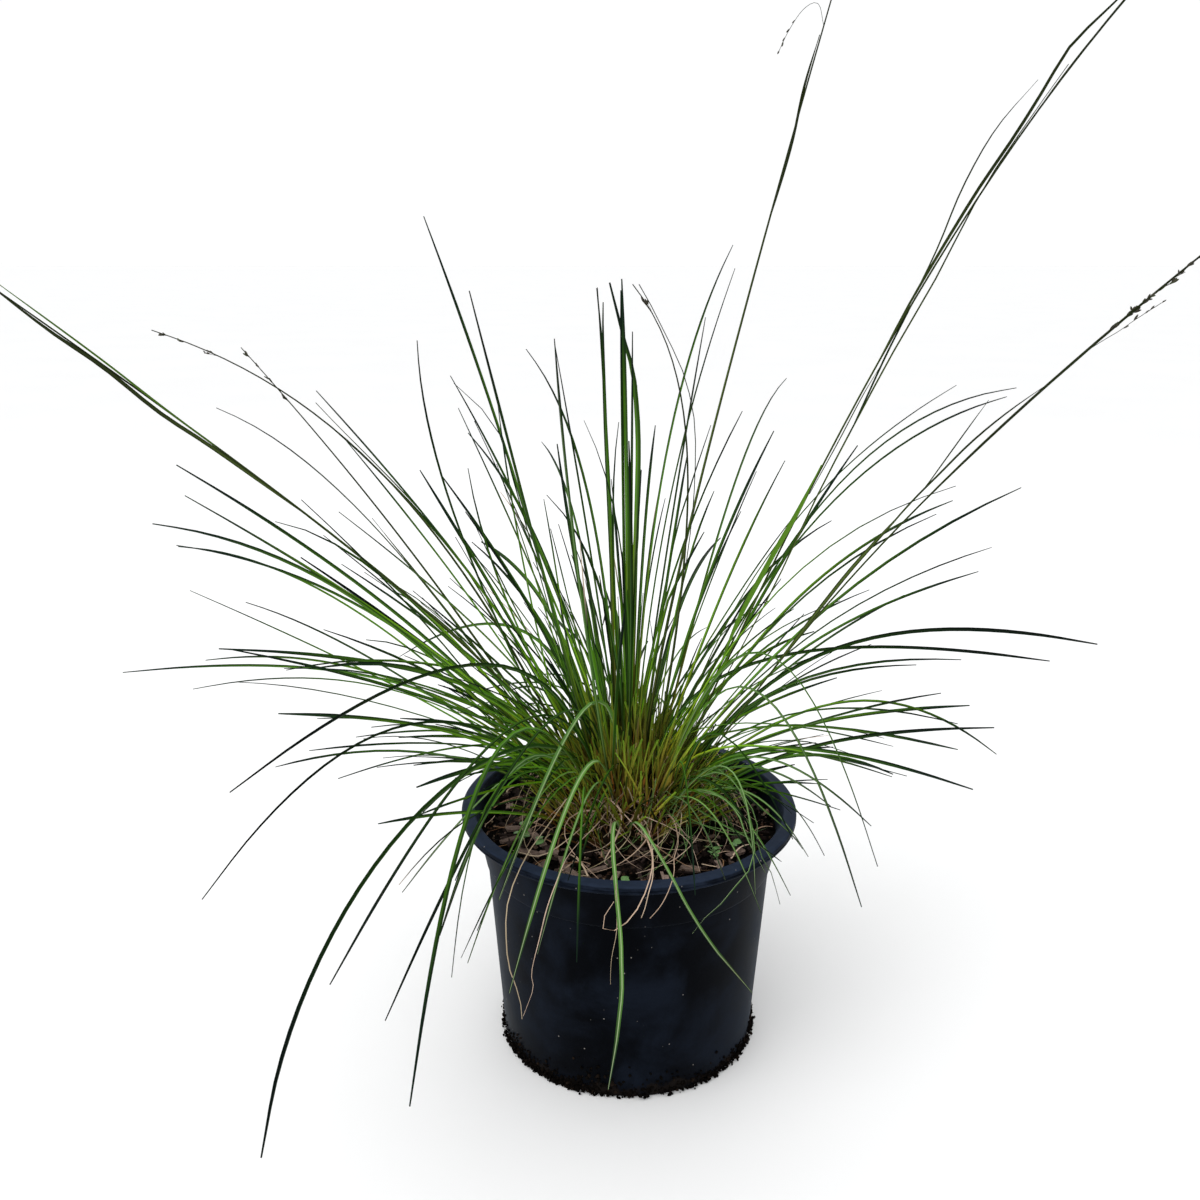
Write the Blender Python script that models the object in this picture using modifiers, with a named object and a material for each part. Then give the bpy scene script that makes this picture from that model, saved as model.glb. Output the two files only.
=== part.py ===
"""Potted prairie dropseed: a clump of fine arching leaves and flower stems in a round nursery pot.

The origin is the centre of the pot's base, with +Z up. Angles run from +X towards +Y, and -Y is the
side that the leaves spill over the rim.
"""

from math import atan2, cos, hypot, pi, radians, sin

import bmesh
import bpy
from mathutils import Vector, noise

MM = 0.001
COLLECTION_NAME = "potted_prairie_dropseed"

# Nursery pot
POT_HEIGHT = 150 * MM
RIM_RADIUS = 100 * MM
RIM_THICKNESS = 5 * MM
RIM_MOUTH_RADIUS = 92 * MM
COLLAR_TOP_RADIUS = 91.5 * MM
COLLAR_FOOT_RADIUS = 86.5 * MM
COLLAR_FOOT_Z = 117.5 * MM
COLLAR_STEP = 1.2 * MM
BASE_RADIUS = 77.5 * MM
BASE_EDGE = 1.2 * MM
WALL = 1.6 * MM
ROUND_STEPS = 40
DRAIN_HOLES = 6
DRAIN_HOLE_RADIUS = 7 * MM
DRAIN_RING_RADIUS = 56 * MM
DRAIN_HOLE_SIDES = 12

# Potting mix, which fills the pot to just under the rim
FIT_GAP = 0.35 * MM
SOIL_EDGE_Z = 137 * MM
SOIL_CROWN_Z = 140 * MM
SOIL_LUMP_HEIGHT = 2.2 * MM
SOIL_LUMP_SIZE = 14 * MM

# Crown, the low mound of leaf sheaths that the plant grows from
CROWN_RADIUS = 46 * MM
CROWN_RISE = 25 * MM
CROWN_SKIRT_Z = 139 * MM
CROWN_FLOOR_Z = 133 * MM
CROWN_RINGS = 6

# Leaves and stems
ROOT_GAP = 0.3 * MM
SHEATH_WIDTH = 4.6 * MM
SHEATH_THICKNESS = 3.0 * MM
SHEATH_LENGTH = 32 * MM
BLADE_THICKNESS = 0.9 * MM
BLADE_TIP = 0.5 * MM
BLADE_TAPER_FROM = 0.62
BROAD = 3.6 * MM
MEDIUM = 2.9 * MM
NARROW = 2.3 * MM
LEAF_STEPS = 11
SHOULDER_PULL = 0.72
STEM_RADIUS = 1.1 * MM
STEM_TIP_RADIUS = 0.45 * MM
PANICLE_RADIUS = 2.4 * MM
STEM_STEPS = 15
DRY_WIDTH = 1.9 * MM
DRY_THICKNESS = 0.8 * MM
DRY_TIP = 0.5 * MM
DRY_STEPS = 20

# Each leaf leaves the crown towards its shoulder and ends at its tip. Both are given as the distance
# out from the pot's axis and the height over the base, in millimetres. A leaf lies in the upright
# plane at its azimuth, in degrees, and swings sideways by its turn on the way to the tip.
# Columns: azimuth, turn, shoulder, tip, width
UPRIGHT_LEAVES = (
    (50, 0, (108, 365), (160, 388), BROAD),
    (100, 0, (8, 358), (30, 452), BROAD),
    (112, 2, (30, 337), (46, 447), MEDIUM),
    (136, 2, (21, 359), (81, 412), NARROW),
    (240, 0, (66, 325), (78, 427), NARROW),
    (160, 0, (64, 338), (122, 485), NARROW),
    (202, 2, (75, 388), (90, 448), MEDIUM),
    (174, -1, (118, 337), (118, 420), NARROW),
    (68, 1, (26, 385), (204, 470), NARROW),
)
LEFT_LEAVES = (
    (168, 0, (60, 258), (184, 390), MEDIUM),
    (174, 0, (155, 352), (235, 382), MEDIUM),
    (184, 0, (106, 264), (245, 357), BROAD),
    (190, 0, (150, 312), (254, 331), BROAD),
    (160, 0, (194, 284), (314, 280), MEDIUM),
    (195, 0, (60, 245), (225, 267), BROAD),
    (176, 0, (110, 250), (305, 224), NARROW),
    (199, 0, (80, 215), (198, 233), MEDIUM),
    (214, 2, (59, 309), (236, 224), BROAD),
    (212, 9, (125, 285), (261, 187), MEDIUM),
    (225, 0, (62, 296), (210, 126), MEDIUM),
    (229, 0, (42, 300), (189, 101), NARROW),
    (221, 0, (78, 252), (137, 115), MEDIUM),
    (243, 0, (150, 340), (226, 100), MEDIUM),
)
FRONT_LEAVES = (
    (262, 4, (114, 222), (119, 40), NARROW),
    (270, 30, (104, 212), (126, 93), NARROW),
    (247, 0, (52, 246), (158, 119), MEDIUM),
    (235, 0, (20, 286), (122, 143), BROAD),
    (305, 0, (102, 253), (113, 142), MEDIUM),
)
RIGHT_LEAVES = (
    (-1, 0, (94, 285), (268, 251), BROAD),
    (9, 0, (30, 270), (264, 224), MEDIUM),
    (-13, 0, (92, 205), (204, 217), MEDIUM),
    (-20, 0, (64, 218), (195, 190), MEDIUM),
    (14, 0, (85, 250), (222, 278), NARROW),
    (37, 0, (92, 318), (285, 378), NARROW),
    (27, 0, (125, 374), (285, 381), NARROW),
    (-42, 0, (88, 352), (166, 169), MEDIUM),
    (-30, 0, (74, 225), (148, 172), NARROW),
    (-53, 0, (95, 330), (180, 166), NARROW),
)

# A long leaf that rises steeply and then hangs far down has two shoulders
# Columns: azimuth, turn, first shoulder, second shoulder, tip, width
ARCHING_LEAVES = (
    (218, 4, (67, 293), (190, 256), (248, 39), BROAD),
)

# The far side, which repeats the near side's mix of steep and low leaves: shoulder, tip, width
BACK_LEAF_COUNT = 7
BACK_FIRST_AZIMUTH = 72
BACK_AZIMUTH_STEP = 11
BACK_SHAPES = (
    ((95, 260), (245, 255), BROAD),
    ((70, 300), (175, 350), MEDIUM),
    ((60, 290), (215, 190), MEDIUM),
    ((110, 320), (235, 330), NARROW),
)

# Flower stems that end in narrow panicles
# Columns: azimuth, turn, shoulder, tip, panicle length
FLOWER_STEMS = (
    (180, 0, (66, 251), (418, 508), 120),
    (48, 0, (30, 285), (222, 700), 150),
    (19, 0, (189, 521), (378, 680), 150),
    (-10, 0, (129, 331), (310, 495), 110),
    (162, 0, (136, 378), (307, 420), 70),
    (153, 0, (150, 296), (278, 407), 80),
    (34, 0, (66, 385), (0, 450), 60),
)

# Withered leaves that hang curled over the near rim: points as azimuth, distance out and height
DRY_LEAVES = (
    ((249, 32, 158), (251, 45, 163), (252, 58, 164), (248, 88, 160), (249, 110, 156), (247, 115, 142),
     (245, 115, 126), (242, 114, 100), (242, 112, 88), (239, 113, 70)),
    ((255, 33, 158), (256, 45, 160), (259, 57, 160), (262, 71, 158), (263, 85, 157), (265, 99, 156),
     (265, 106, 150), (265, 105, 128), (264, 103, 110), (264, 101, 92)),
    ((281, 33, 158), (280, 45, 160), (280, 55, 159), (278, 81, 158), (276, 98, 156), (274, 106, 150),
     (273, 107, 141), (272, 106, 134)),
    ((298, 37, 156), (298, 50, 161), (291, 71, 159), (285, 87, 158), (282, 100, 156), (278, 108, 147),
     (275, 106, 136)),
)


def clear_scene():
    """Remove everything that the file opened with."""
    for item in list(bpy.data.objects):
        bpy.data.objects.remove(item, do_unlink=True)


def new_collection(name):
    """Make a collection in the scene."""
    group = bpy.data.collections.new(name)
    bpy.context.scene.collection.children.link(group)
    return group


def make_material(name, color, roughness):
    """Make a plain Principled material; nothing on the plant or its pot is metal."""
    material = bpy.data.materials.new(name)
    material.use_nodes = True
    shader = material.node_tree.nodes["Principled BSDF"]
    shader.inputs["Base Color"].default_value = (*color, 1.0)
    shader.inputs["Roughness"].default_value = roughness
    shader.inputs["Metallic"].default_value = 0.0
    material.diffuse_color = (*color, 1.0)
    return material


def add_object(name, data, group, material):
    """Put mesh or curve data in the scene as a named object."""
    item = bpy.data.objects.new(name, data)
    group.objects.link(item)
    data.materials.append(material)
    return item


def turned_object(name, profile, group, material):
    """Turn a profile of (radius, height) points, which runs down the outer side, about the Z axis."""
    mesh = bpy.data.meshes.new(name)
    points = [(radius, 0.0, height) for radius, height in profile]
    mesh.from_pydata(points, [(i, i + 1) for i in range(len(points) - 1)], [])
    item = add_object(name, mesh, group, material)
    turn = item.modifiers.new("Turn", "SCREW")
    turn.axis = "Z"
    turn.angle = 2 * pi
    turn.steps = ROUND_STEPS
    turn.render_steps = ROUND_STEPS
    turn.use_merge_vertices = True
    turn.merge_threshold = 0.01 * MM
    turn.use_smooth_shade = True
    return item


def keep_evaluated_mesh(item):
    """Replace an object's mesh by the one that its modifiers make, so that its points can be moved."""
    evaluated = item.evaluated_get(bpy.context.evaluated_depsgraph_get())
    mesh = bpy.data.meshes.new_from_object(evaluated)
    item.modifiers.clear()
    item.data = mesh
    return mesh


def shade_round(mesh):
    """Shade a mesh smooth, with its real edges sharp."""
    mesh.shade_smooth()
    mesh.set_sharp_from_angle(angle=radians(40))


def wall_inside_radius(height):
    """The pot's inside radius at a height over its base."""
    body_top = COLLAR_FOOT_Z - COLLAR_STEP
    if height <= body_top:
        share = (height - WALL) / (body_top - WALL)
        return BASE_RADIUS + share * (COLLAR_FOOT_RADIUS - COLLAR_STEP - BASE_RADIUS) - WALL
    lip_foot = POT_HEIGHT - RIM_THICKNESS
    share = max(0.0, height - COLLAR_FOOT_Z) / (lip_foot - COLLAR_FOOT_Z)
    return COLLAR_FOOT_RADIUS + share * (COLLAR_TOP_RADIUS - COLLAR_FOOT_RADIUS) - WALL


def build_pot(group, cutters, material):
    """The pot: a rolled rim, a collar with a step under it, a tapered body and drain holes."""
    body_top = COLLAR_FOOT_Z - COLLAR_STEP
    lip_foot = POT_HEIGHT - RIM_THICKNESS
    rim_round = 1.3 * MM
    profile = (
        (0.0, WALL),
        (wall_inside_radius(WALL), WALL),
        (wall_inside_radius(body_top), body_top),
        (wall_inside_radius(COLLAR_FOOT_Z), COLLAR_FOOT_Z),
        (wall_inside_radius(lip_foot), lip_foot),
        (RIM_MOUTH_RADIUS - rim_round / 2, POT_HEIGHT - rim_round),
        (RIM_MOUTH_RADIUS + rim_round / 2, POT_HEIGHT),
        (RIM_RADIUS - rim_round, POT_HEIGHT),
        (RIM_RADIUS, POT_HEIGHT - rim_round),
        (RIM_RADIUS, lip_foot + rim_round),
        (RIM_RADIUS - rim_round, lip_foot),
        (COLLAR_TOP_RADIUS, lip_foot - rim_round / 2),
        (COLLAR_FOOT_RADIUS, COLLAR_FOOT_Z),
        (COLLAR_FOOT_RADIUS - COLLAR_STEP, body_top),
        (BASE_RADIUS, BASE_EDGE),
        (BASE_RADIUS - BASE_EDGE, 0.0),
        (0.0, 0.0),
    )
    pot = turned_object("nursery_pot", profile, group, material)
    for hole in range(DRAIN_HOLES):
        angle = 2 * pi * hole / DRAIN_HOLES
        bm = bmesh.new()
        bmesh.ops.create_cone(bm, cap_ends=True, segments=DRAIN_HOLE_SIDES, radius1=DRAIN_HOLE_RADIUS,
                              radius2=DRAIN_HOLE_RADIUS, depth=4 * WALL)
        mesh = bpy.data.meshes.new(f"drain_hole_{hole + 1}")
        bm.to_mesh(mesh)
        bm.free()
        cutter = bpy.data.objects.new(mesh.name, mesh)
        cutters.objects.link(cutter)
        cutter.location = (DRAIN_RING_RADIUS * cos(angle), DRAIN_RING_RADIUS * sin(angle), 0.0)
        cutter.hide_render = True
        cutter.display_type = "WIRE"
        cut = pot.modifiers.new("Drain hole", "BOOLEAN")
        cut.operation = "DIFFERENCE"
        cut.solver = "EXACT"
        cut.object = cutter
    return pot


def build_soil(group, material):
    """The potting mix: it fills the pot, falls a little towards the wall and is lumpy on top."""
    recess = CROWN_RADIUS + FIT_GAP
    edge = wall_inside_radius(SOIL_EDGE_Z) - FIT_GAP
    body_top = COLLAR_FOOT_Z - COLLAR_STEP
    floor = WALL + FIT_GAP
    profile = (
        (0.0, CROWN_FLOOR_Z - FIT_GAP),
        (recess, CROWN_FLOOR_Z - FIT_GAP),
        (recess, SOIL_CROWN_Z),
        (recess + 9 * MM, SOIL_CROWN_Z),
        (recess + 18 * MM, (SOIL_CROWN_Z + SOIL_EDGE_Z) / 2),
        (recess + 27 * MM, SOIL_EDGE_Z),
        (edge, SOIL_EDGE_Z),
        (wall_inside_radius(COLLAR_FOOT_Z) - FIT_GAP, COLLAR_FOOT_Z),
        (wall_inside_radius(body_top) - FIT_GAP, body_top),
        (wall_inside_radius(WALL) - FIT_GAP, floor),
        (0.0, floor),
    )
    soil = turned_object("potting_mix", profile, group, material)
    mesh = keep_evaluated_mesh(soil)
    for vertex in mesh.vertices:
        out = hypot(vertex.co.x, vertex.co.y)
        if vertex.co.z > COLLAR_FOOT_Z + FIT_GAP and recess + MM < out < edge - MM:
            vertex.co.z += SOIL_LUMP_HEIGHT * noise.noise(vertex.co / SOIL_LUMP_SIZE)
    mesh.shade_smooth()
    return soil


def crown_point(angle):
    """The crown dome's point (distance out, height) where its surface faces up at an angle."""
    reach = hypot(CROWN_RADIUS * cos(angle), CROWN_RISE * sin(angle))
    out = CROWN_RADIUS ** 2 * cos(angle) / reach
    height = CROWN_SKIRT_Z + CROWN_RISE ** 2 * sin(angle) / reach
    return Vector((out, height))


def build_crown(group, material):
    """The crown: a low dome on a short straight skirt that sits in the potting mix."""
    dome = [crown_point(pi / 2 * (1 - ring / CROWN_RINGS)) for ring in range(CROWN_RINGS + 1)]
    dome[0].x = 0.0
    profile = [tuple(point) for point in dome]
    profile += [(CROWN_RADIUS, CROWN_FLOOR_Z), (0.0, CROWN_FLOOR_Z)]
    return turned_object("crown", profile, group, material)


def crown_start(shoulder):
    """Where on the crown a leaf leaves square to the surface and heads for its shoulder."""
    angle = pi / 4
    for _ in range(20):
        start = crown_point(angle)
        angle = atan2(shoulder.y - start.y, shoulder.x - start.x)
    facing = Vector((cos(angle), sin(angle)))
    return crown_point(angle) + facing * ROOT_GAP


def leaf_path(shoulder, second_shoulder, tip, steps):
    """Points (distance out, height) along a leaf: it starts towards its shoulder and ends away from
    its second one, which on most leaves is the same point."""
    start = crown_start(shoulder)
    near = start.lerp(shoulder, SHOULDER_PULL)
    far = tip.lerp(second_shoulder, SHOULDER_PULL)
    points = []
    for step in range(steps + 1):
        t = step / steps
        s = 1 - t
        points.append(s ** 3 * start + 3 * s * s * t * near + 3 * s * t * t * far + t ** 3 * tip)
    return points


def upright_point(azimuth, out, height):
    """A point in the upright plane at an azimuth in degrees."""
    angle = radians(azimuth)
    return Vector((out * cos(angle), out * sin(angle), height))


def plant_route(azimuth, turn, corners, steps):
    """A leaf's or stem's points in space; the turn swings it sideways more and more."""
    shoulder, second_shoulder, tip = (Vector(corner) * MM for corner in corners)
    route = []
    for step, point in enumerate(leaf_path(shoulder, second_shoulder, tip, steps)):
        swung = azimuth + turn * (step / steps) ** 2
        route.append(upright_point(swung, point.x, point.y))
    return route


def loft_blade(name, route, section_at, group, material):
    """Loft a four-sided section, (width, thickness) at each point, along a route."""
    bm = bmesh.new()
    rings = []
    side = None
    travelled = 0.0
    total = sum((b - a).length for a, b in zip(route, route[1:]))
    for i, point in enumerate(route):
        before = route[max(i - 1, 0)]
        after = route[min(i + 1, len(route) - 1)]
        along = (after - before).normalized()
        if side is None:
            azimuth = atan2(point.y, point.x)
            side = Vector((-sin(azimuth), cos(azimuth), 0.0))
        side = (side - along * side.dot(along)).normalized()
        face = along.cross(side)
        travelled += (point - before).length
        width, thickness = section_at(travelled, total)
        offsets = (side * width / 2, face * thickness / 2, -side * width / 2, -face * thickness / 2)
        rings.append([bm.verts.new(point + offset) for offset in offsets])
    for ring, further in zip(rings, rings[1:]):
        for k in range(4):
            following = (k + 1) % 4
            bm.faces.new((ring[k], ring[following], further[following], further[k]))
    bm.faces.new(reversed(rings[0]))
    bm.faces.new(rings[-1])
    bmesh.ops.recalc_face_normals(bm, faces=bm.faces)
    mesh = bpy.data.meshes.new(name)
    bm.to_mesh(mesh)
    bm.free()
    shade_round(mesh)
    return add_object(name, mesh, group, material)


def leaf_section(width):
    """The section along a leaf: a thick sheath, a flat blade and a long fine tip."""

    def section_at(travelled, total):
        sheath = max(0.0, 1 - travelled / SHEATH_LENGTH)
        point = max(0.0, (travelled / total - BLADE_TAPER_FROM) / (1 - BLADE_TAPER_FROM))
        wide = width + (SHEATH_WIDTH - width) * sheath
        thick = BLADE_THICKNESS + (SHEATH_THICKNESS - BLADE_THICKNESS) * sheath
        wide += (BLADE_TIP - wide) * point
        thick += (BLADE_TIP - thick) * point
        return wide, thick

    return section_at


def build_leaf(name, row, group, material):
    """One leaf from its row of sizes, which has one shoulder or two."""
    azimuth, turn, *corners, width = row
    shoulders = corners[:-1]
    route = plant_route(azimuth, turn, (shoulders[0], shoulders[-1], corners[-1]), LEAF_STEPS)
    return loft_blade(name, route, leaf_section(width), group, material)


def back_leaf_rows():
    """Rows for the far side's leaves, from the repeated shapes."""
    rows = []
    for i in range(BACK_LEAF_COUNT):
        azimuth = BACK_FIRST_AZIMUTH + i * BACK_AZIMUTH_STEP
        rows.append((azimuth, 0, *BACK_SHAPES[i % len(BACK_SHAPES)]))
    return rows


def build_flower_stem(name, row, group, material):
    """A round stem that swells to its panicle's width near the end."""
    azimuth, turn, shoulder, tip, panicle_length = row
    route = plant_route(azimuth, turn, (shoulder, shoulder, tip), STEM_STEPS)
    total = sum((b - a).length for a, b in zip(route, route[1:]))
    curve = bpy.data.curves.new(name, "CURVE")
    curve.dimensions = "3D"
    curve.bevel_depth = STEM_RADIUS
    curve.bevel_resolution = 1
    curve.use_fill_caps = True
    curve.render_resolution_u = 0
    spline = curve.splines.new("POLY")
    spline.points.add(len(route) - 1)
    travelled = 0.0
    for i, point in enumerate(route):
        travelled += (point - route[max(i - 1, 0)]).length
        along_panicle = (travelled - total + panicle_length * MM) / (panicle_length * MM)
        radius = STEM_RADIUS + (STEM_TIP_RADIUS - STEM_RADIUS) * travelled / total
        if along_panicle > 0:
            radius += (PANICLE_RADIUS - radius) * sin(pi * min(along_panicle, 1.0))
        spline.points[i].co = (*point, 1.0)
        spline.points[i].radius = radius / STEM_RADIUS
    return add_object(name, curve, group, material)


def smooth_route(points, steps):
    """Points along a smooth curve through a few chosen ones."""
    route = []
    spans = len(points) - 1
    for step in range(steps + 1):
        place = spans * step / steps
        i = min(int(place), spans - 1)
        t = place - i
        a, b = points[i], points[i + 1]
        before = points[i - 1] if i > 0 else 2 * a - b
        after = points[i + 2] if i + 2 <= spans else 2 * b - a
        pull = (b - before) * t + (2 * before - 5 * a + 4 * b - after) * t * t
        pull += (3 * a - before - 3 * b + after) * t ** 3
        route.append(a + pull / 2)
    return route


def dry_section(travelled, total):
    """A withered leaf's section: narrow, rolled and fine at its tip."""
    share = travelled / total
    width = DRY_WIDTH + (DRY_TIP - DRY_WIDTH) * share ** 2
    return width, DRY_THICKNESS + (DRY_TIP - DRY_THICKNESS) * share


def build_dry_leaf(name, chosen, group, material):
    """A withered leaf along its chosen points."""
    points = [upright_point(azimuth, out * MM, height * MM) for azimuth, out, height in chosen]
    return loft_blade(name, smooth_route(points, DRY_STEPS), dry_section, group, material)


def main():
    clear_scene()
    group = new_collection(COLLECTION_NAME)
    cutters = new_collection("cutters")
    black_plastic = make_material("black_plastic", (0.018, 0.021, 0.027), 0.42)
    potting_soil = make_material("potting_soil", (0.045, 0.032, 0.024), 0.95)
    crown_sheaths = make_material("crown_sheaths", (0.22, 0.19, 0.05), 0.7)
    leaf_green = make_material("leaf_green", (0.075, 0.16, 0.03), 0.5)
    stem_green = make_material("stem_green", (0.11, 0.17, 0.04), 0.55)
    dry_straw = make_material("dry_straw", (0.42, 0.27, 0.12), 0.75)

    build_pot(group, cutters, black_plastic)
    build_soil(group, potting_soil)
    build_crown(group, crown_sheaths)
    leaf_sets = (
        ("upright_leaf", UPRIGHT_LEAVES),
        ("left_leaf", LEFT_LEAVES),
        ("front_leaf", FRONT_LEAVES),
        ("right_leaf", RIGHT_LEAVES),
        ("arching_leaf", ARCHING_LEAVES),
        ("back_leaf", back_leaf_rows()),
    )
    for set_name, rows in leaf_sets:
        for i, row in enumerate(rows):
            build_leaf(f"{set_name}_{i + 1:02d}", row, group, leaf_green)
    for i, row in enumerate(FLOWER_STEMS):
        build_flower_stem(f"flower_stem_{i + 1}", row, group, stem_green)
    for i, chosen in enumerate(DRY_LEAVES):
        build_dry_leaf(f"dry_leaf_{i + 1}", chosen, group, dry_straw)


main()
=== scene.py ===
"""Looks of the potted prairie dropseed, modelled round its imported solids.

Each operator makes one piece, or one group of like pieces. The file is run as a script.
"""

from contextlib import contextmanager
from math import cos, hypot, pi, radians, sin

import bmesh
import bpy
import numpy as np
from bpy.props import FloatProperty, FloatVectorProperty, IntProperty, PointerProperty
from bpy.types import Operator, Panel, PropertyGroup
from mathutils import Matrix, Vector


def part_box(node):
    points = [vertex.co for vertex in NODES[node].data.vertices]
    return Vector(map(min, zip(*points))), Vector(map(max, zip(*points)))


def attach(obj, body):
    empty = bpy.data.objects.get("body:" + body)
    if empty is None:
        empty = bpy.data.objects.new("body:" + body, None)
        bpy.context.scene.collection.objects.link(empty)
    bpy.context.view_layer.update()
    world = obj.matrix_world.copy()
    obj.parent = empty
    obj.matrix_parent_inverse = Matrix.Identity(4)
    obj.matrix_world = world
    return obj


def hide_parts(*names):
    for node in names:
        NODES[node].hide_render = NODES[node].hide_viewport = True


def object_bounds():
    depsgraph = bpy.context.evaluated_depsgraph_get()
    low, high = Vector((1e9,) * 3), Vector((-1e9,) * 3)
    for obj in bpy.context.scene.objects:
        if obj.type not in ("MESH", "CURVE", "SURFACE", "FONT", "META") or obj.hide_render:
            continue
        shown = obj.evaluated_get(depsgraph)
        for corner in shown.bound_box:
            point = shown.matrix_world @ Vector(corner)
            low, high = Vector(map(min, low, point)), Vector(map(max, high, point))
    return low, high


bl_info = {
    "name": "Potted Prairie Dropseed",
    "version": (1, 0, 0),
    "blender": (4, 5, 0),
    "location": "3D View > Sidebar > Dropseed",
    "description": "Models a potted prairie dropseed round its packed solids",
    "category": "Add Mesh",
}

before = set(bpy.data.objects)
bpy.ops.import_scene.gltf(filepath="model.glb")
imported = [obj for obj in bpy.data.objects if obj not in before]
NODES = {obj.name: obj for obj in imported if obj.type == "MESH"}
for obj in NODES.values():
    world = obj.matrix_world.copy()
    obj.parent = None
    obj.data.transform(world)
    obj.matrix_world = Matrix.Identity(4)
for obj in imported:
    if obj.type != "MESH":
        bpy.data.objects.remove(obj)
CAD_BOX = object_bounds()

MM = 0.001
GOLDEN_ANGLE = 2.39996
BODY = "root"
RIM_RADIUS, _, POT_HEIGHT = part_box("nursery_pot")[1]
CROWN_RADIUS, _, CROWN_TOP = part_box("crown")[1]
MOUND_SHARE = 0.93
SOIL_TOP = 140 * MM
CROWN_HEART = Vector((0.0, 0.0, SOIL_TOP))
CLUMP_MIDDLE = Vector((0.0, 0.0, 0.25))
TWIG_DROOP = np.array((0.0, 0.0, 0.10))

# The camera, as solved from the pot's rim and base in the photo: its place, how far down it looks in degrees,
# and its lens in millimetres
CAMERA_PLACE = (-0.0172, -0.631, 0.469)
CAMERA_DIP = 17
CAMERA_LENS = 34.68

LEAF_NODES = sorted(name for name in NODES if "_leaf_" in name and not name.startswith("dry_"))
STEM_NODES = sorted(name for name in NODES if name.startswith("flower_stem_"))
DRY_NODES = sorted(name for name in NODES if name.startswith("dry_leaf_"))
DRY_TONES = (0.62, 0.80, 0.70, 0.52)

# Widths at their widest, in millimetres, of the leaves that stand out from the rest
LEAF_WIDTHS = {
    "upright_leaf_01": 2.4, "upright_leaf_02": 2.2, "upright_leaf_03": 1.6, "upright_leaf_06": 1.7,
    "upright_leaf_09": 1.4,
    "front_leaf_01": 2.3, "front_leaf_02": 2.2, "front_leaf_03": 2.3, "front_leaf_04": 3.0, "front_leaf_05": 1.2,
    "arching_leaf_01": 3.0, "right_leaf_01": 2.3, "right_leaf_02": 2.0, "back_leaf_01": 2.6,
}

# Leaves that sway from their packed course: share of the length, how far to the right and how far up
SWAYS = {
    "front_leaf_01": ((0, 0, 0), (0.3, 1, 0), (0.4, 3, 0), (0.55, 5.2, 0), (0.7, 5, 0), (0.85, 1, 0), (1, -4.5, 0)),
    "front_leaf_02": ((0, 0, 0), (0.3, 0, 0), (0.5, -2.5, -1), (0.6, -4, -2), (0.7, -4.5, -2.5), (0.8, -4, -2),
                      (0.9, -2, -1), (1, 0, 0)),
}

# The pot, in millimetres: its outside from the middle of the base to the top of the rim, and its inside
# upwards, both as (radius, height)
OUTER_WALL = (
    (0, 0), (30, 0), (66, 0), (70, 1.2), (73, 1.2), (74.2, 0), (75.9, 0), (76.9, 0.35), (77.4, 1.0),
    (77.7, 4), (79.2, 27), (81.2, 56), (83.2, 86), (85.2, 115.6), (85.3, 116.3), (85.45, 116.9),
    (86.1, 117.15), (86.4, 117.5), (86.55, 118.3), (89.0, 131), (91.2, 142.6), (91.45, 143.9),
    (91.9, 144.7), (92.8, 145.1), (97.9, 145.0), (99.1, 145.2), (99.75, 145.7), (RIM_RADIUS / MM, 146.3),
    (RIM_RADIUS / MM, 146.9), (99.55, 147.15), (99.55, 147.4), (RIM_RADIUS / MM, 147.65),
    (RIM_RADIUS / MM, 148.5), (99.75, 149.3), (99.1, 149.8), (98.1, POT_HEIGHT / MM), (95.6, 149.75),
    (94.0, POT_HEIGHT / MM),
)
INNER_WALL = ((75.9, 1.6), (83.7, 116.3), (84.9, 117.5), (89.9, 145.0), (91.4, 148.7), (92.6, 150.0))
BASE_THICKNESS = 1.6
WALL_GAP = 0.35
CLEAR_RADIUS = 87 * MM
SOIL_EDGE = 86.5 * MM
DRAIN_HOLES = 6
FOOT_RADIUS = 77.6 * MM
FOOT_FLARE = 0.066

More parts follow.
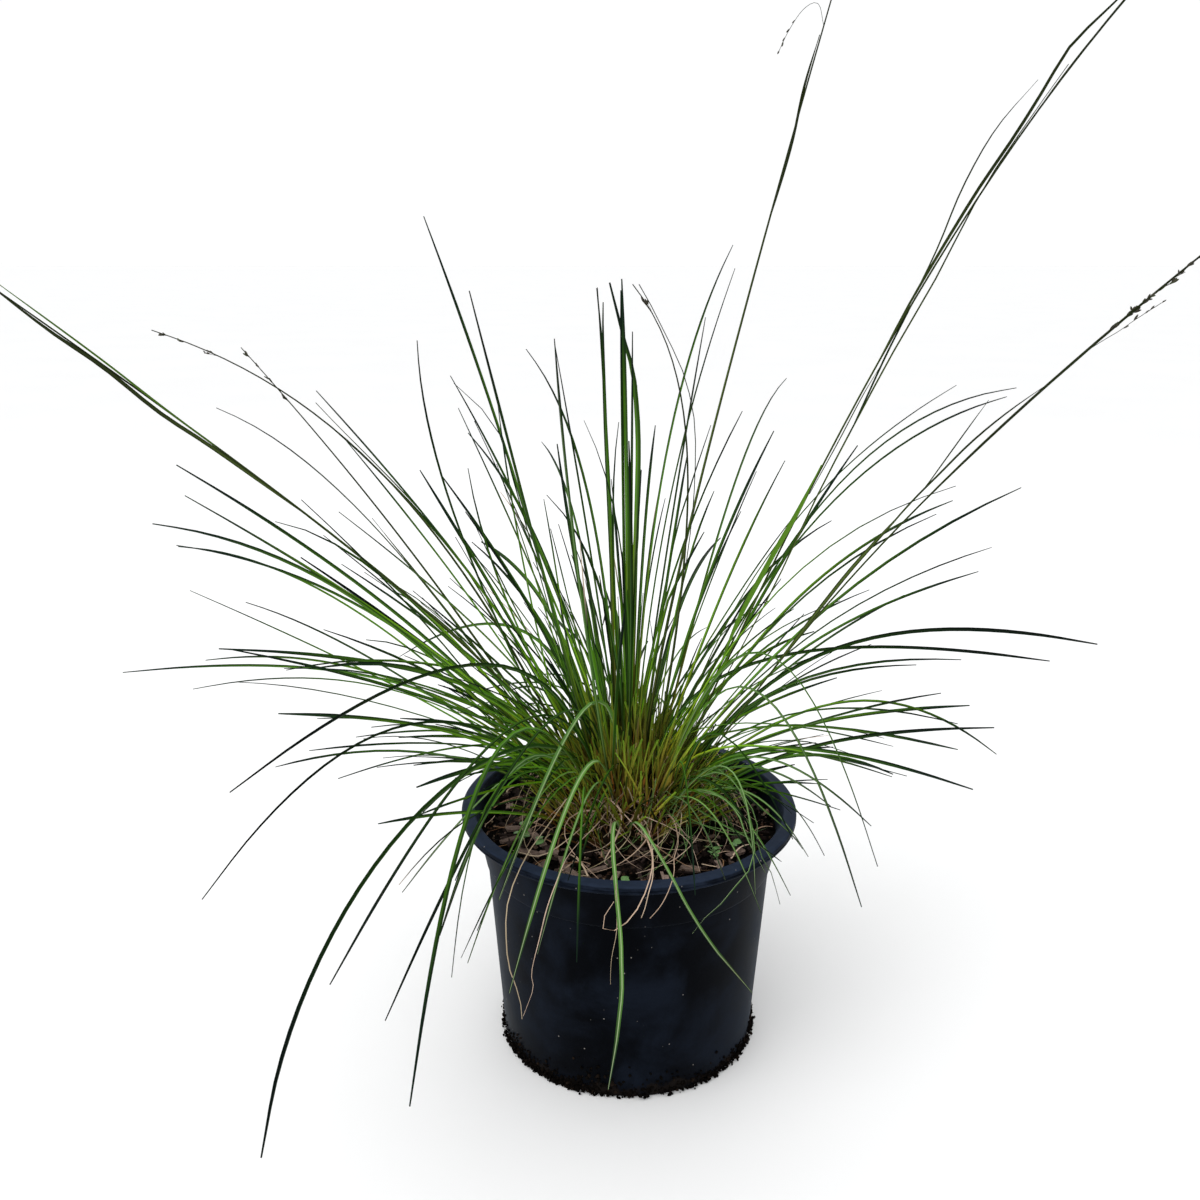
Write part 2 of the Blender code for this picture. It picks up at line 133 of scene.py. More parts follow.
# More leaves that show from end to end: azimuth, turn, shoulder and tip as (out, height), width
GUIDE_LEAVES = (
    (110, 0, (48, 400), (45, 439), 2.6),
    (88, 0, (20, 250), (10, 425), 2.4),
    (140, 0, (17, 250), (56, 417), 1.8),
    (102, 0, (20, 320), (28, 446), 2.8),
    (150, 0, (40, 280), (122, 396), 1.8),
    (152, 0, (33, 230), (114, 378), 1.8),
    (160, 0, (90, 290), (188, 363), 2.2),
    (155, 0, (92, 255), (193, 355), 2.4),
    (186, 0, (88, 243), (240, 342), 2.0),
    (170, 0, (150, 285), (278, 296), 2.2),
    (175, 0, (99, 205), (260, 275), 2.0),
    (190, 0, (150, 262), (211, 286), 2.0),
    (165, 0, (150, 240), (282, 213), 2.4),
    (195, 0, (125, 260), (240, 246), 2.2),
    (194, 0, (53, 215), (169, 184), 2.6),
    (215, 0, (48, 235), (150, 139), 2.4),
    (201, 0, (50, 200), (128, 181), 3.2),
    (5, 0, (130, 250), (227, 171), 1.9),
    (10, 0, (74, 200), (216, 196), 2.6),
    (25, 0, (103, 285), (231, 313), 2.2),
    (29, 0, (120, 350), (288, 374), 2.2),
    (-30, 0, (70, 210), (125, 178), 2.0),
    (165, 0, (50, 225), (126, 345), 2.4),
    (160, 0, (33, 235), (118, 341), 2.8),
    (176, 0, (49, 232), (166, 325), 2.6),
    (25, 0, (100, 290), (153, 354), 3.2),
    (60, 0, (26, 330), (133, 456), 2.0),
    (70, 0, (46, 250), (150, 425), 2.0),
    (36, 0, (50, 280), (108, 363), 2.4),
    (20, 0, (94, 228), (185, 260), 2.6),
    (232, 0, (66, 236), (140, 112), 2.2),
    (250, -4, (60, 226), (122, 118), 2.4),
    (300, 8, (78, 212), (112, 128), 1.4),
    (314, 4, (70, 208), (116, 132), 1.4),
    (325, 0, (78, 202), (118, 150), 1.3),
    (336, 0, (84, 206), (120, 140), 1.2),
    (-62, 0, (60, 200), (104, 150), 1.2),
)

# Leaves lighter or darker than the rest: tone, how late along them the dark tip begins and, where the flat
# side is seen, how far the blade is turned
LEAF_TONES = {
    "upright_leaf_01": (0.40, 1.9), "upright_leaf_02": (0.56, 1.9), "upright_leaf_03": (0.56, 1.9),
    "arching_leaf_01": (0.17, 0.74), "left_leaf_09": (0.14, 0.72), "left_leaf_10": (0.12, 0.62),
    "left_leaf_11": (0.16, 0.70), "left_leaf_12": (0.10, 0.62), "left_leaf_14": (0.30, 1.1),
    "right_leaf_01": (0.10, 0.50, 1.35), "right_leaf_02": (0.12, 0.55, 1.35), "right_leaf_03": (0.16, 0.62, 1.2),
    "right_leaf_04": (0.30, 0.90, 1.1),
}

# Tall leaves at the heart of the clump, which bow across each other: width, tone, then places along them
HEART_LEAVES = (
    (3.8, 0.58, (1, 2, 166), (2, 8, 284), (3, 10, 304), (4, 15, 347), (4, 18, 366), (3, 21, 384), (1, 24, 402),
     (-3, 26, 416), (-7, 28, 431), (-12, 30, 450)),
    (2.0, 0.20, (-6, 2, 166), (-10, 8, 261), (-11, 12, 296), (-14, 22, 364), (-16, 30, 414), (-19, 34, 447)),
)

# Dry leaves that curl over the soil and the near rim: width, then places along them
LOOSE_STRAWS = (
    (0.9, (-9, -48, 156), (-21, -48, 168), (-34, -54, 167), (-37, -60, 162), (-34, -68, 156), (-26, -76, 150),
     (-18, -84, 146)),
    (1.0, (-8, -30, 164), (-5, -42, 162), (-6, -50, 158), (-11, -62, 152), (-15, -70, 149), (-13, -75, 149)),
    (0.9, (3, -36, 162), (9, -62, 157), (11, -80, 157), (10, -94, 156), (7, -104, 152), (1, -108, 140),
     (-11, -107, 127), (-16, -107, 130), (-15, -109, 139), (-10, -108, 147)),
    (0.7, (8, -40, 160), (24, -52, 158), (33, -60, 153), (37, -75, 145)),
    (0.9, (-36, -42, 172), (-45, -62, 167), (-55, -80, 161), (-61, -95, 154), (-66, -100, 140), (-67, -96, 113),
     (-66, -94, 96), (-61, -95, 82), (-60, -92, 64)),
    (0.8, (-14, -30, 165), (-30, -58, 160), (-48, -70, 152), (-60, -60, 148), (-66, -52, 145)),
)
# Fine green leaves that droop over the near right rim: width, then places along them
DROOPING_LEAVES = (
    (0.9, (30, -24, 170), (42, -40, 186), (49, -50, 192), (54, -70, 197), (59, -80, 190), (63, -88, 177),
     (64, -90, 166), (61, -95, 158), (55, -99, 153), (47, -103, 144), (37, -105, 135), (31, -105, 126)),
    (1.0, (30, -18, 172), (40, -30, 184), (48, -40, 190), (57, -60, 189), (62, -68, 184), (67, -72, 175),
     (67, -74, 165), (69, -78, 157), (74, -84, 150), (79, -88, 133)),
    (1.0, (26, -20, 168), (48, -50, 178), (58, -62, 173), (62, -67, 163), (66, -72, 156), (72, -78, 146)),
    (1.3, (30, -22, 162), (50, -50, 161), (62, -62, 160), (72, -72, 157), (80, -80, 154)),
    (0.9, (34, -16, 170), (60, -35, 175), (76, -44, 165), (90, -50, 154), (96, -54, 147)),
)

# Large pale bark chips: azimuth, distance out, length and width
LARGE_CHIPS = (
    (196, 68, 13, 4.5), (204, 76, 11, 3.6), (212, 62, 15, 4.2), (219, 74, 14, 5.0), (226, 66, 10, 3.2),
    (231, 78, 13, 3.4), (238, 70, 16, 3.8), (246, 77, 12, 4.6), (254, 68, 11, 3.2), (263, 74, 12, 3.6),
    (284, 76, 13, 3.8), (297, 72, 11, 4.2), (309, 78, 14, 3.4), (322, 76, 12, 3.8), (170, 74, 12, 4.0),
    (120, 74, 13, 4.0), (60, 72, 12, 3.8), (20, 76, 12, 3.6),
)

# Seedlings: azimuth and distance out
SEEDLINGS = ((318, 64), (313, 69), (326, 71), (269, 80), (214, 66), (206, 70), (198, 63), (80, 70), (88, 66),
             (135, 74))

# Leaves and side shoots that lie along the flower stems: stem, width, tone, then the share of the
# stem's length, how far to the right of it and how far above it
STEM_STRANDS = (
    (1, 2.2, 0.55, (0.42, 0, 0), (0.55, -1, -1), (0.61, -2.5, -2), (0.68, -1.1, 0), (0.74, -0.9, -1.3),
     (0.82, -0.7, 0.7)),
    (1, 1.7, 0.74, (0.52, 0, 0), (0.61, 0.2, 0.4), (0.69, 1.6, 1.5), (0.81, 1.6, 3.2)),
    (2, 1.8, 0.6, (0.58, 0, 0), (0.67, 0.8, -0.4), (0.73, -1.1, 1), (0.79, -0.9, 0.2)),
    (3, 1.9, 0.3, (0.42, 0, 0), (0.50, -1.7, -0.4), (0.61, -2.3, 1), (0.66, -1.5, 1.8), (0.72, -3.3, 3.6),
     (0.76, -6.8, 3.9), (0.82, -3, 1.5), (0.88, -0.5, 0)),
    (3, 1.7, 0.5, (0.04, 0, 0), (0.12, 4, 0), (0.20, 7.3, 0), (0.25, 7.1, 0), (0.30, 6.1, 0), (0.40, 6, 0),
     (0.46, 5.4, 0), (0.51, 5.9, 0), (0.61, -0.2, 0), (0.69, -1.3, 0), (0.75, -2.5, 0)),
    (3, 1.9, 0.0, (0.36, 5.9, 0), (0.40, 4.3, 0), (0.42, 3.2, 0), (0.45, 1.7, 0), (0.50, 0, 0)),
    (3, 0.9, 0.1, (0.30, 0.8, 0), (0.35, 1.6, 0), (0.40, 1.5, 0), (0.43, 2.3, 0)),
    (3, 3.0, 0.95, (0.12, -3, 0), (0.17, -5, 0), (0.20, -4.4, 0), (0.23, -3.3, 0), (0.25, -2.6, 0), (0.28, -1.2, 0),
     (0.33, -0.8, 0)),
    (3, 2.3, 0.3, (0.68, 0, 0), (0.75, 0.2, -0.2), (0.82, 0, 0)),
    (3, 0.9, 0.2, (0.42, 0, 0), (0.50, -1.7, -0.4), (0.55, -3.6, 3.1), (0.60, -8.4, 7.1), (0.66, -11.1, 8.7),
     (0.72, -8.8, 6)),
    (4, 2.3, 0.5, (0.20, 0, 0), (0.35, -2.6, 0), (0.40, -3.9, 0), (0.45, -4.7, 0), (0.50, -5.8, 0)),
    (4, 1.1, 0.2, (0.42, -4.2, 0), (0.50, -5.8, 0), (0.55, -5.9, 0), (0.60, -6.6, 0), (0.65, -4.7, 0), (0.70, 0, 0)),
    (4, 0.85, 0.2, (0.50, -5.8, 0), (0.53, -6.6, 0), (0.58, -11.2, 0), (0.62, -15.5, 0), (0.67, -21.4, 0)),
    (4, 1.4, 0.3, (0.65, 0, 0), (0.71, 0.1, 0.3), (0.78, 0, 0)),
    (5, 1.2, 0.3, (0.10, 0, 0), (0.40, 1.8, 2), (0.70, 2, 6)),
    (6, 1.2, 0.3, (0.08, 0, 0), (0.35, -2.5, -3), (0.60, -4, -6)),
    (7, 0.9, 0.2, (0.12, 0, 0), (0.50, 2.6, 0), (0.65, 4.8, 0), (0.70, 6, 0), (0.80, 4.8, 0), (0.89, 1.6, 0),
     (0.94, 1.8, 0), (1.0, 3.4, 0)),
)
# Thickness of the stems along their length, where it isn't the usual one
STEM_THICKNESS = {
    3: ((0, 1.3), (0.7, 1.2), (0.9, 1.7), (1, 1.3)),
    4: ((0, 1.0), (0.5, 1.0), (0.6, 1.45), (0.78, 1.4), (1, 0.6)),
}
USUAL_THICKNESS = ((0, 2.0), (1, 0.6))
# Side branches: stem, then places along them as above; they carry spikelets at their far end
BRANCHES = (
    (2, (0.80, 0, 0), (0.815, -6, 5), (0.81, -14, 4), (0.80, -21, -3), (0.785, -24, -6)),
    (4, (0.72, 0, 0), (0.74, 0.1, 0.4), (0.77, 0.7, -1.4), (0.79, 1.7, -2.8), (0.81, 2.6, -3.2), (0.84, 4.2, -4.4)),
)
# Panicles: share of the stem they take up, whorls, and the lowest branches' length
PANICLES = ((0.20, 9, 24), (0.16, 8, 22), (0.16, 8, 24), (0.23, 16, 9), (0.14, 3, 14), (0.16, 4, 14),
            (0.10, 1, 12))


# Settings

def color_setting(name, description, default):
    """A colour that a user may change."""
    return FloatVectorProperty(name=name, description=description, subtype="COLOR", default=default, min=0, max=1)


def count_setting(name, description, default, least=0):
    """A number of small parts that a user may change."""
    return IntProperty(name=name, description=description, default=default, min=least)


class PotProperties(PropertyGroup):
    plastic: color_setting("Plastic", "Colour of the black plastic", (0.0009, 0.0012, 0.0021))
    # Colour of the blue-grey scuffs; lightened, it is also the painted highlight on the rim and along the lip
    scuff_and_highlight: color_setting("Scuffed plastic", "Colour where the plastic is rubbed blue-grey", (0.0056, 0.0082, 0.0145))
    dirt: color_setting("Dried soil", "Colour of the soil smeared on the pot", (0.0085, 0.0065, 0.0055))
    roughness: FloatProperty(name="Roughness", description="Roughness of clean plastic", default=0.42, min=0, max=1)
    steps: IntProperty(name="Round steps", description="Steps round the pot", default=144, min=32, max=256)
    foot_crumbs: count_setting("Crumbs", "Soil crumbs stuck round the foot", 2800)


class SoilProperties(PropertyGroup):
    soil: color_setting("Potting mix", "Colour of the moist mix", (0.0036, 0.0028, 0.0024))
    bark: color_setting("Bark", "Colour of weathered bark chips", (0.170, 0.125, 0.105))
    chips: count_setting("Bark chips", "Bark chips on the mix", 300)
    crumbs: count_setting("Crumbs", "Crumbs on the mix", 1500)
    fibres: count_setting("Fibres", "Straw fibres on the mix", 70)


class LeafProperties(PropertyGroup):
    blades: count_setting("Blades per tuft", "Shorter blades round each long leaf", 5)
    width: FloatProperty(name="Blade width", description="Usual width of a blade", default=1.65 * MM, unit="LENGTH")
    base: color_setting("Base", "Colour near the crown", (0.165, 0.170, 0.010))
    middle: color_setting("Middle", "Colour of the middle of a blade", (0.056, 0.172, 0.009))
    tip: color_setting("Tip", "Colour of the last third of a blade", (0.0030, 0.0125, 0.0068))


class CrownProperties(PropertyGroup):
    shoots: count_setting("Shoots", "Bundles of leaf bases in the crown", 84, 1)
    sheaths: count_setting("Sheaths", "Leaf bases in each shoot", 12, 1)
    straws: count_setting("Straws", "Dry curled straws round the crown", 120)
    sheath: color_setting("Sheath", "Colour of a green sheath", (0.190, 0.165, 0.028))
    rust: color_setting("Rust", "Colour of an old sheath", (0.330, 0.130, 0.036))
    faded: color_setting("Faded Sheath", "Colour of a dry, bleached sheath", (0.400, 0.335, 0.160))
    straw: color_setting("Straw", "Colour of a dry leaf", (0.630, 0.490, 0.390))


class StemProperties(PropertyGroup):
    green: color_setting("Stem", "Colour of a flower stem", (0.060, 0.095, 0.018))
    spikelet: color_setting("Spikelet", "Colour of a spikelet", (0.036, 0.032, 0.024))


class StageProperties(PropertyGroup):
    floor: color_setting("Floor", "Colour of the floor", (0.80, 0.80, 0.80))
    sun: FloatProperty(name="Sun", description="Strength of the wide soft sun", default=0.9, min=0)
    fill: FloatProperty(name="Fill", description="Power of each soft lamp", default=5.0, min=0, unit="POWER")
    sky: FloatProperty(name="Sky", description="Strength of the even light from all round", default=1.02, min=0)


# Plain geometry

def deselect_all():
    """Leave nothing selected, so that an operator acts on its own piece alone."""
    bpy.ops.object.select_all(action="DESELECT")


def pick(item):
    """Make one object the active one, and the only one that is selected."""
    deselect_all()
    item.select_set(True)
    bpy.context.view_layer.objects.active = item


@contextmanager
def editing(action="SELECT"):
    """Edit mode on the active object, with all of it selected or nothing."""
    bpy.ops.object.mode_set(mode="EDIT")
    bpy.ops.mesh.select_all(action=action)
    yield bpy.context.object
    bpy.ops.object.mode_set(mode="OBJECT")


def cut_across(item, axis, least, cuts):
    """Cut the edges that run along an axis, and are longer than the least, into equal lengths."""
    bm = bmesh.from_edit_mesh(item.data)
    for edge in bm.edges:
        edge.select = abs(edge.verts[0].co[axis] - edge.verts[1].co[axis]) > least
    bmesh.update_edit_mesh(item.data)
    bpy.ops.mesh.subdivide(number_cuts=cuts)


def take_mesh(item):
    """The corner positions and faces of a modelled object, which is then deleted."""
    mesh = item.data
    corners = np.array([vertex.co[:] for vertex in mesh.vertices])
    faces = [tuple(face.vertices) for face in mesh.polygons]
    bpy.data.objects.remove(item)
    bpy.data.meshes.remove(mesh)
    return corners, faces


def model_strip(sides, cuts):
    """A rod of unit radius and height, cut across into short lengths: blades and stems are bent from it."""
    deselect_all()
    bpy.ops.mesh.primitive_cylinder_add(vertices=sides, radius=1, depth=1, location=(0, 0, 0.5))
    bpy.ops.object.transform_apply(location=True, rotation=False, scale=False)
    with editing("DESELECT") as item:
        cut_across(item, 2, 0.5, cuts)
    return take_mesh(item)


def model_lump(divisions, roughness, seed):
    """A crumb of soil: a round lump with its corners pushed about."""
    deselect_all()
    bpy.ops.mesh.primitive_ico_sphere_add(subdivisions=divisions, radius=1)
    with editing() as item:
        bpy.ops.transform.vertex_random(offset=roughness, seed=seed)
    return take_mesh(item)


def model_chip(seed):
    """A splinter of bark: a flat block with torn ends and uneven faces."""
    deselect_all()
    bpy.ops.mesh.primitive_cube_add(size=2)
    with editing("DESELECT") as item:
        cut_across(item, 0, 1, 3)
        cut_across(item, 1, 1, 1)
        bpy.ops.mesh.select_all(action="SELECT")
        bpy.ops.transform.vertex_random(offset=0.26, seed=seed)
    return take_mesh(item)


def model_spikelet():
    """A spikelet: a seed drawn out to a point at both ends, one unit long."""
    deselect_all()
    bpy.ops.mesh.primitive_uv_sphere_add(segments=6, ring_count=6, radius=0.5)
    with editing() as item:
        bpy.ops.transform.resize(value=(0.30, 0.30, 1))
        bpy.ops.transform.translate(value=(0, 0, 0.5))
    return take_mesh(item)


def model_round_leaf():
    """A seedling's leaf: a thin round disc, dished along its middle."""
    deselect_all()
    bpy.ops.mesh.primitive_uv_sphere_add(segments=12, ring_count=6, radius=1)
    with editing() as item:
        bpy.ops.transform.resize(value=(1.0, 0.86, 0.09))
    corners, faces = take_mesh(item)
    corners[:, 2] += 0.16 * corners[:, 1] ** 2
    return corners, faces


def model_turned(name, profile, steps):
    """Draw a profile of (radius, height) points in millimetres and spin it about the Z axis."""
    deselect_all()
    bpy.ops.mesh.primitive_plane_add(size=MM)
    places = [Vector((radius * MM, 0, height * MM)) for radius, height in profile]
    with editing() as item:
        item.name = item.data.name = name
        bpy.ops.mesh.merge(type="CENTER")
        bpy.ops.transform.translate(value=places[0])
        for here, there in zip(places, places[1:]):
            bpy.ops.mesh.extrude_vertices_move(TRANSFORM_OT_translate={"value": there - here})
        bpy.ops.mesh.select_all(action="SELECT")
        bpy.ops.mesh.spin(steps=steps, angle=2 * pi, center=(0, 0, 0), axis=(0, 0, 1))
        bpy.ops.mesh.select_all(action="SELECT")
        bpy.ops.mesh.remove_doubles(threshold=0.01 * MM)
        bpy.ops.mesh.normals_make_consistent(inside=False)
    return item


def link_new(name, data):
    """A new object in the scene."""
    item = bpy.data.objects.new(name, data)
    bpy.context.scene.collection.objects.link(item)
    return item


class Heap:
    """Many small shapes that become one joined mesh, with a value or two kept at each corner."""

    def __init__(self):
        self.corners = []
        self.faces = []
        self.values = {}
        self.count = 0

    def add(self, corners, faces, **values):
        """Add one shape; each value is a number for the shape, or one for each corner."""
        self.corners.append(corners)
        self.faces += [tuple(corner + self.count for corner in face) for face in faces]
        for key, value in values.items():
            self.values.setdefault(key, []).append(np.broadcast_to(value, len(corners)))
        self.count += len(corners)

    def add_strip(self, strip, route, width, thickness, fold=0.0, roll=0.0, twist=0.0, length=None, **values):
        """Bend a straight rod along a route and add it. Each corner keeps its place across the rod and, where the
        length is given, how far along the rod it lies."""
        values.setdefault("across", strip[0][:, 0])
        if length:
            values["reach"] = strip[0][:, 2] * length
        self.add(bend_strip(strip, route, width, thickness, fold, roll, twist), strip[1], **values)

    def make(self, name):
        """The joined mesh as an object."""
        mesh = bpy.data.meshes.new(name)
        mesh.from_pydata(np.concatenate(self.corners).tolist(), [], self.faces)
        for key, parts in self.values.items():
            layer = mesh.attributes.new(key, "FLOAT", "POINT")
            layer.data.foreach_set("value", np.concatenate(parts).astype(np.float32))
        return link_new(name, mesh)


def finish_piece(item, material, replaced=(), smooth_angle=50):
    """Shade a piece, give it its material and tie it to the frame."""
    pick(item)
    bpy.ops.object.shade_smooth_by_angle(angle=radians(smooth_angle))
    item.select_set(False)
    item.data.materials.append(bpy.data.materials.get(material) or MATERIALS[material](material))
    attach(item, BODY)
    if replaced:
        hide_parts(*replaced)


def turn_about_z(angle):
    """A rotation matrix; its columns are the directions ahead, to the left and up."""
    return np.array(((cos(angle), -sin(angle), 0), (sin(angle), cos(angle), 0), (0, 0, 1)))


def random_turn(rng, tilt):
    """A rotation matrix: any heading, tilted from level by up to an angle in degrees."""
    about_z = turn_about_z(rng.uniform(0, 2 * pi))
    lean, roll = radians(rng.uniform(-tilt, tilt)), radians(rng.uniform(-tilt, tilt))
    about_y = np.array(((cos(lean), 0, sin(lean)), (0, 1, 0), (-sin(lean), 0, cos(lean))))
    about_x = np.array(((1, 0, 0), (0, cos(roll), -sin(roll)), (0, sin(roll), cos(roll))))
    return about_z @ about_y @ about_x


def placed(shape, stretch, turn, place):
    """The corners of a small modelled shape, stretched, turned and moved to its place."""
    return (shape[0] * stretch) @ turn.T + place


# Routes of blades and stems

def between(points, run, wanted):
    """The places along a route at the wanted distances, where the run is the distance of each of its points."""
    return np.stack([np.interp(wanted, run, points[:, axis]) for axis in range(3)], axis=1)


def even_route(points, count):
    """Evenly spaced points along a smooth curve through a route's points."""
    points = np.asarray(points, float)
    ends = np.vstack((2 * points[0] - points[1], points, 2 * points[-1] - points[-2]))
    slope = (ends[2:] - ends[:-2]) / 2
    dense = [points[:1]]
    for i in range(len(points) - 1):
        t = np.linspace(0, 1, 13)[1:, None]
        dense.append((2 * t ** 3 - 3 * t ** 2 + 1) * points[i] + (t ** 3 - 2 * t ** 2 + t) * slope[i]
                     + (3 * t ** 2 - 2 * t ** 3) * points[i + 1] + (t ** 3 - t ** 2) * slope[i + 1])
    dense = np.concatenate(dense)
    run = np.concatenate(((0,), np.cumsum(np.linalg.norm(np.diff(dense, axis=0), axis=1))))
    return between(dense, run, np.linspace(0, run[-1], count))


def route_length(points):
    """How long a route is."""
    return np.linalg.norm(np.diff(points, axis=0), axis=1).sum()


def around(angle, out, height):
    """The place, or the row of places, at an angle about the pot's axis, a distance out and a height."""
    return np.stack(np.broadcast_arrays(out * np.cos(angle), out * np.sin(angle), height), axis=-1)


def crown_rise(share):
    """How far the crown's dome stands above the soil, at a share of its radius."""
    return (CROWN_TOP - SOIL_TOP) * np.maximum(0, 1 - share ** 2) ** 0.5


def node_route(node, reach):
    """The middles of a packed leaf's or stem's rings, from its root to its tip, and its widest ring."""
    loose = [Vector(place) for place in sorted({tuple(round(c, 6) for c in vertex.co)
                                                for vertex in NODES[node].data.vertices})]
    middles = []
    widest = 0.0
    while loose:
        ring = [point for point in loose if (point - loose[0]).length < reach]
        loose = [point for point in loose if point not in ring]
        middle = sum(ring, Vector()) / len(ring)
        middles.append(middle)
        if (middle - CROWN_HEART).length > 90 * MM:
            widest = max(widest, max((a - b).length for a in ring for b in ring))
    route = [min(middles, key=lambda middle: (middle - CROWN_HEART).length)]
    middles.remove(route[0])
    while middles:
        following = min(middles, key=lambda middle: (middle - route[-1]).length)
        middles.remove(following)
        route.append(following)
    return np.array([point[:] for point in route]), widest


def guide_route(row):
    """The route of one of the guide leaves."""
    azimuth, turn, shoulder, tip, _ = row
    shoulder, tip = np.array(shoulder) * MM, np.array(tip) * MM
    lean = np.arctan2(shoulder[1] - SOIL_TOP, shoulder[0])
    start = np.array((0.8 * CROWN_RADIUS * cos(lean), SOIL_TOP + 0.7 * (CROWN_TOP - SOIL_TOP) * sin(lean)))
    near, far = start + 0.72 * (shoulder - start), tip + 0.72 * (shoulder - tip)
    t = np.linspace(0, 1, 14)[:, None]
    flat = (1 - t) ** 3 * start + 3 * (1 - t) ** 2 * t * near + 3 * (1 - t) * t * t * far + t ** 3 * tip
    return around(np.radians(azimuth + turn * t[:, 0] ** 2), flat[:, 0], flat[:, 1])


def is_clear(route):
    """Whether a blade stays out of the pot's wall and rim and of the potting mix."""
    out = np.hypot(route[:, 0], route[:, 1])
    height = route[:, 2]
    wall = (out > CLEAR_RADIUS) & (out < RIM_RADIUS + 1.5 * MM) & (height < POT_HEIGHT + 1.5 * MM)
    body = (out <= RIM_RADIUS) & (height < SOIL_TOP + 2 * MM)
    outside = (out > CROWN_RADIUS) & (wall | body)
    return not outside[2:].any() and height.min() > 4 * MM


def vary_route(route, rng, spread=14.0, lean=8.0):
    """A shorter blade beside a long one: it is scaled towards its root, turned aside and tipped. The spread and
    the lean are in degrees."""
    scale = rng.beta(2.0, 2.6) * 0.64 + 0.30
    root = route[0]
    azimuth = np.arctan2(route[-1, 1], route[-1, 0]) if hypot(*route[-1, :2]) > 20 * MM else 0.0
    moved = (route - root) * scale
    straight = rng.uniform(0, 0.8)
    moved = moved * (1 - straight) + np.linspace(0, straight, len(route))[:, None] * moved[-1]
    tip_angle = radians(rng.normal(0, lean))
    out, side, height = (moved @ turn_about_z(azimuth)).T
    out, height = out * cos(tip_angle) + height * sin(tip_angle), height * cos(tip_angle) - out * sin(tip_angle)
    share = np.linspace(0, 1, len(route))
    length = np.linalg.norm(moved[-1])
    if rng.random() < 0.03:
        bend = int(len(route) * rng.uniform(0.45, 0.8))
        drop = radians(rng.uniform(10, 35))
        far, rise = out[bend:] - out[bend], height[bend:] - height[bend]
        out[bend:] = out[bend] + far * cos(drop) + rise * sin(drop)
        height[bend:] = height[bend] + rise * cos(drop) - far * sin(drop)
    side = side + length * rng.normal(0, 0.035) * share ** 2
    height = height - length * abs(rng.normal(0, 0.05)) * share ** 2.4
    swing = radians(rng.normal(0, spread))
    start_azimuth = np.arctan2(root[1], root[0]) + radians(rng.normal(0, 1.3 * spread))
    start_out = np.clip(hypot(root[0], root[1]) + rng.normal(-4, 8) * MM, 1 * MM, 0.94 * CROWN_RADIUS)
    start = around(start_azimuth, start_out, SOIL_TOP + crown_rise(start_out / CROWN_RADIUS))
    return start + np.stack((out, side, height), axis=1) @ turn_about_z(azimuth + swing).T


def blade_shares(t, taper_from, sharpness):
    """A blade's width along it, as a share of its widest: narrow at the sheath and blunt at the tip."""
    rise = np.clip(0.62 + 0.38 * t / 0.14, 0, 1)
    fall = 1 - 0.66 * np.clip((t - taper_from) / (1 - taper_from), 0, 1) ** sharpness
    return rise * fall


def bend_strip(strip, route, width, thickness, fold=0.0, roll=0.0, twist=0.0):
    """Bend a straight rod along a route; width, thickness and fold are one number, or one for each point."""
    corners, _ = strip
    steps = len(route) - 1
    t = corners[:, 2] * steps
    index = np.clip(t.astype(int), 0, steps - 1)
    part = (t - index)[:, None]
    tangents = np.gradient(route, axis=0)
    tangents /= np.linalg.norm(tangents, axis=1)[:, None]
    chord = route[-1] - route[0]
    azimuth = np.arctan2(chord[1], chord[0])
    side = np.tile(np.array((-sin(azimuth), cos(azimuth), 0.0)), (len(route), 1))
    side -= tangents * np.sum(side * tangents, axis=1)[:, None]
    side /= np.linalg.norm(side, axis=1)[:, None]
    face = np.cross(tangents, side)
    angle = (roll + twist * np.linspace(0, 1, len(route)))[:, None]
    side, face = side * np.cos(angle) + face * np.sin(angle), face * np.cos(angle) - side * np.sin(angle)

    def at(values):
        values = np.asarray(values, float)
        if values.ndim < 2:
            values = np.broadcast_to(values, len(route))[:, None]
        return values[index] * (1 - part) + values[index + 1] * part

    half_width, half_thickness = at(width) / 2, at(thickness) / 2
    x, y = corners[:, :1], corners[:, 1:2]
    rise = y * half_thickness + at(fold) * (np.abs(x) - 0.5) * 2 * half_width
    return at(route) + at(side) * x * half_width + at(face) * rise


def add_blade(heap, strip, route, width, rng, tone=None, pale=0.0, browned_from=1.0, thickness=0.6 * MM,
              roll=None, limpness=1.0, late=None):
    """Bend one grass blade along its route and add it to a heap; a limp one turns more along its length, and
    a late one stays green nearer to its tip."""
    up = strip[0][:, 2]
    points = even_route(route, len(np.unique(np.round(up, 5))))
    shares = blade_shares(np.linspace(0, 1, len(points)), rng.uniform(0.66, 0.88), rng.uniform(1.2, 1.7))
    thick = np.maximum(thickness * (0.55 + 0.45 * shares), 0.22 * MM)
    heap.add_strip(strip, points, width * shares, thick, rng.uniform(0.15, 0.42),
                   rng.normal(0, 0.75) if roll is None else roll, rng.normal(0, 0.9) * limpness,
                   route_length(points), along=up ** (late or rng.uniform(0.9, 1.35)),
                   tone=rng.uniform(0, 1) if tone is None else tone, pale=pale,
                   dry=np.clip((up - browned_from) / 0.12, 0, 1))


# Materials

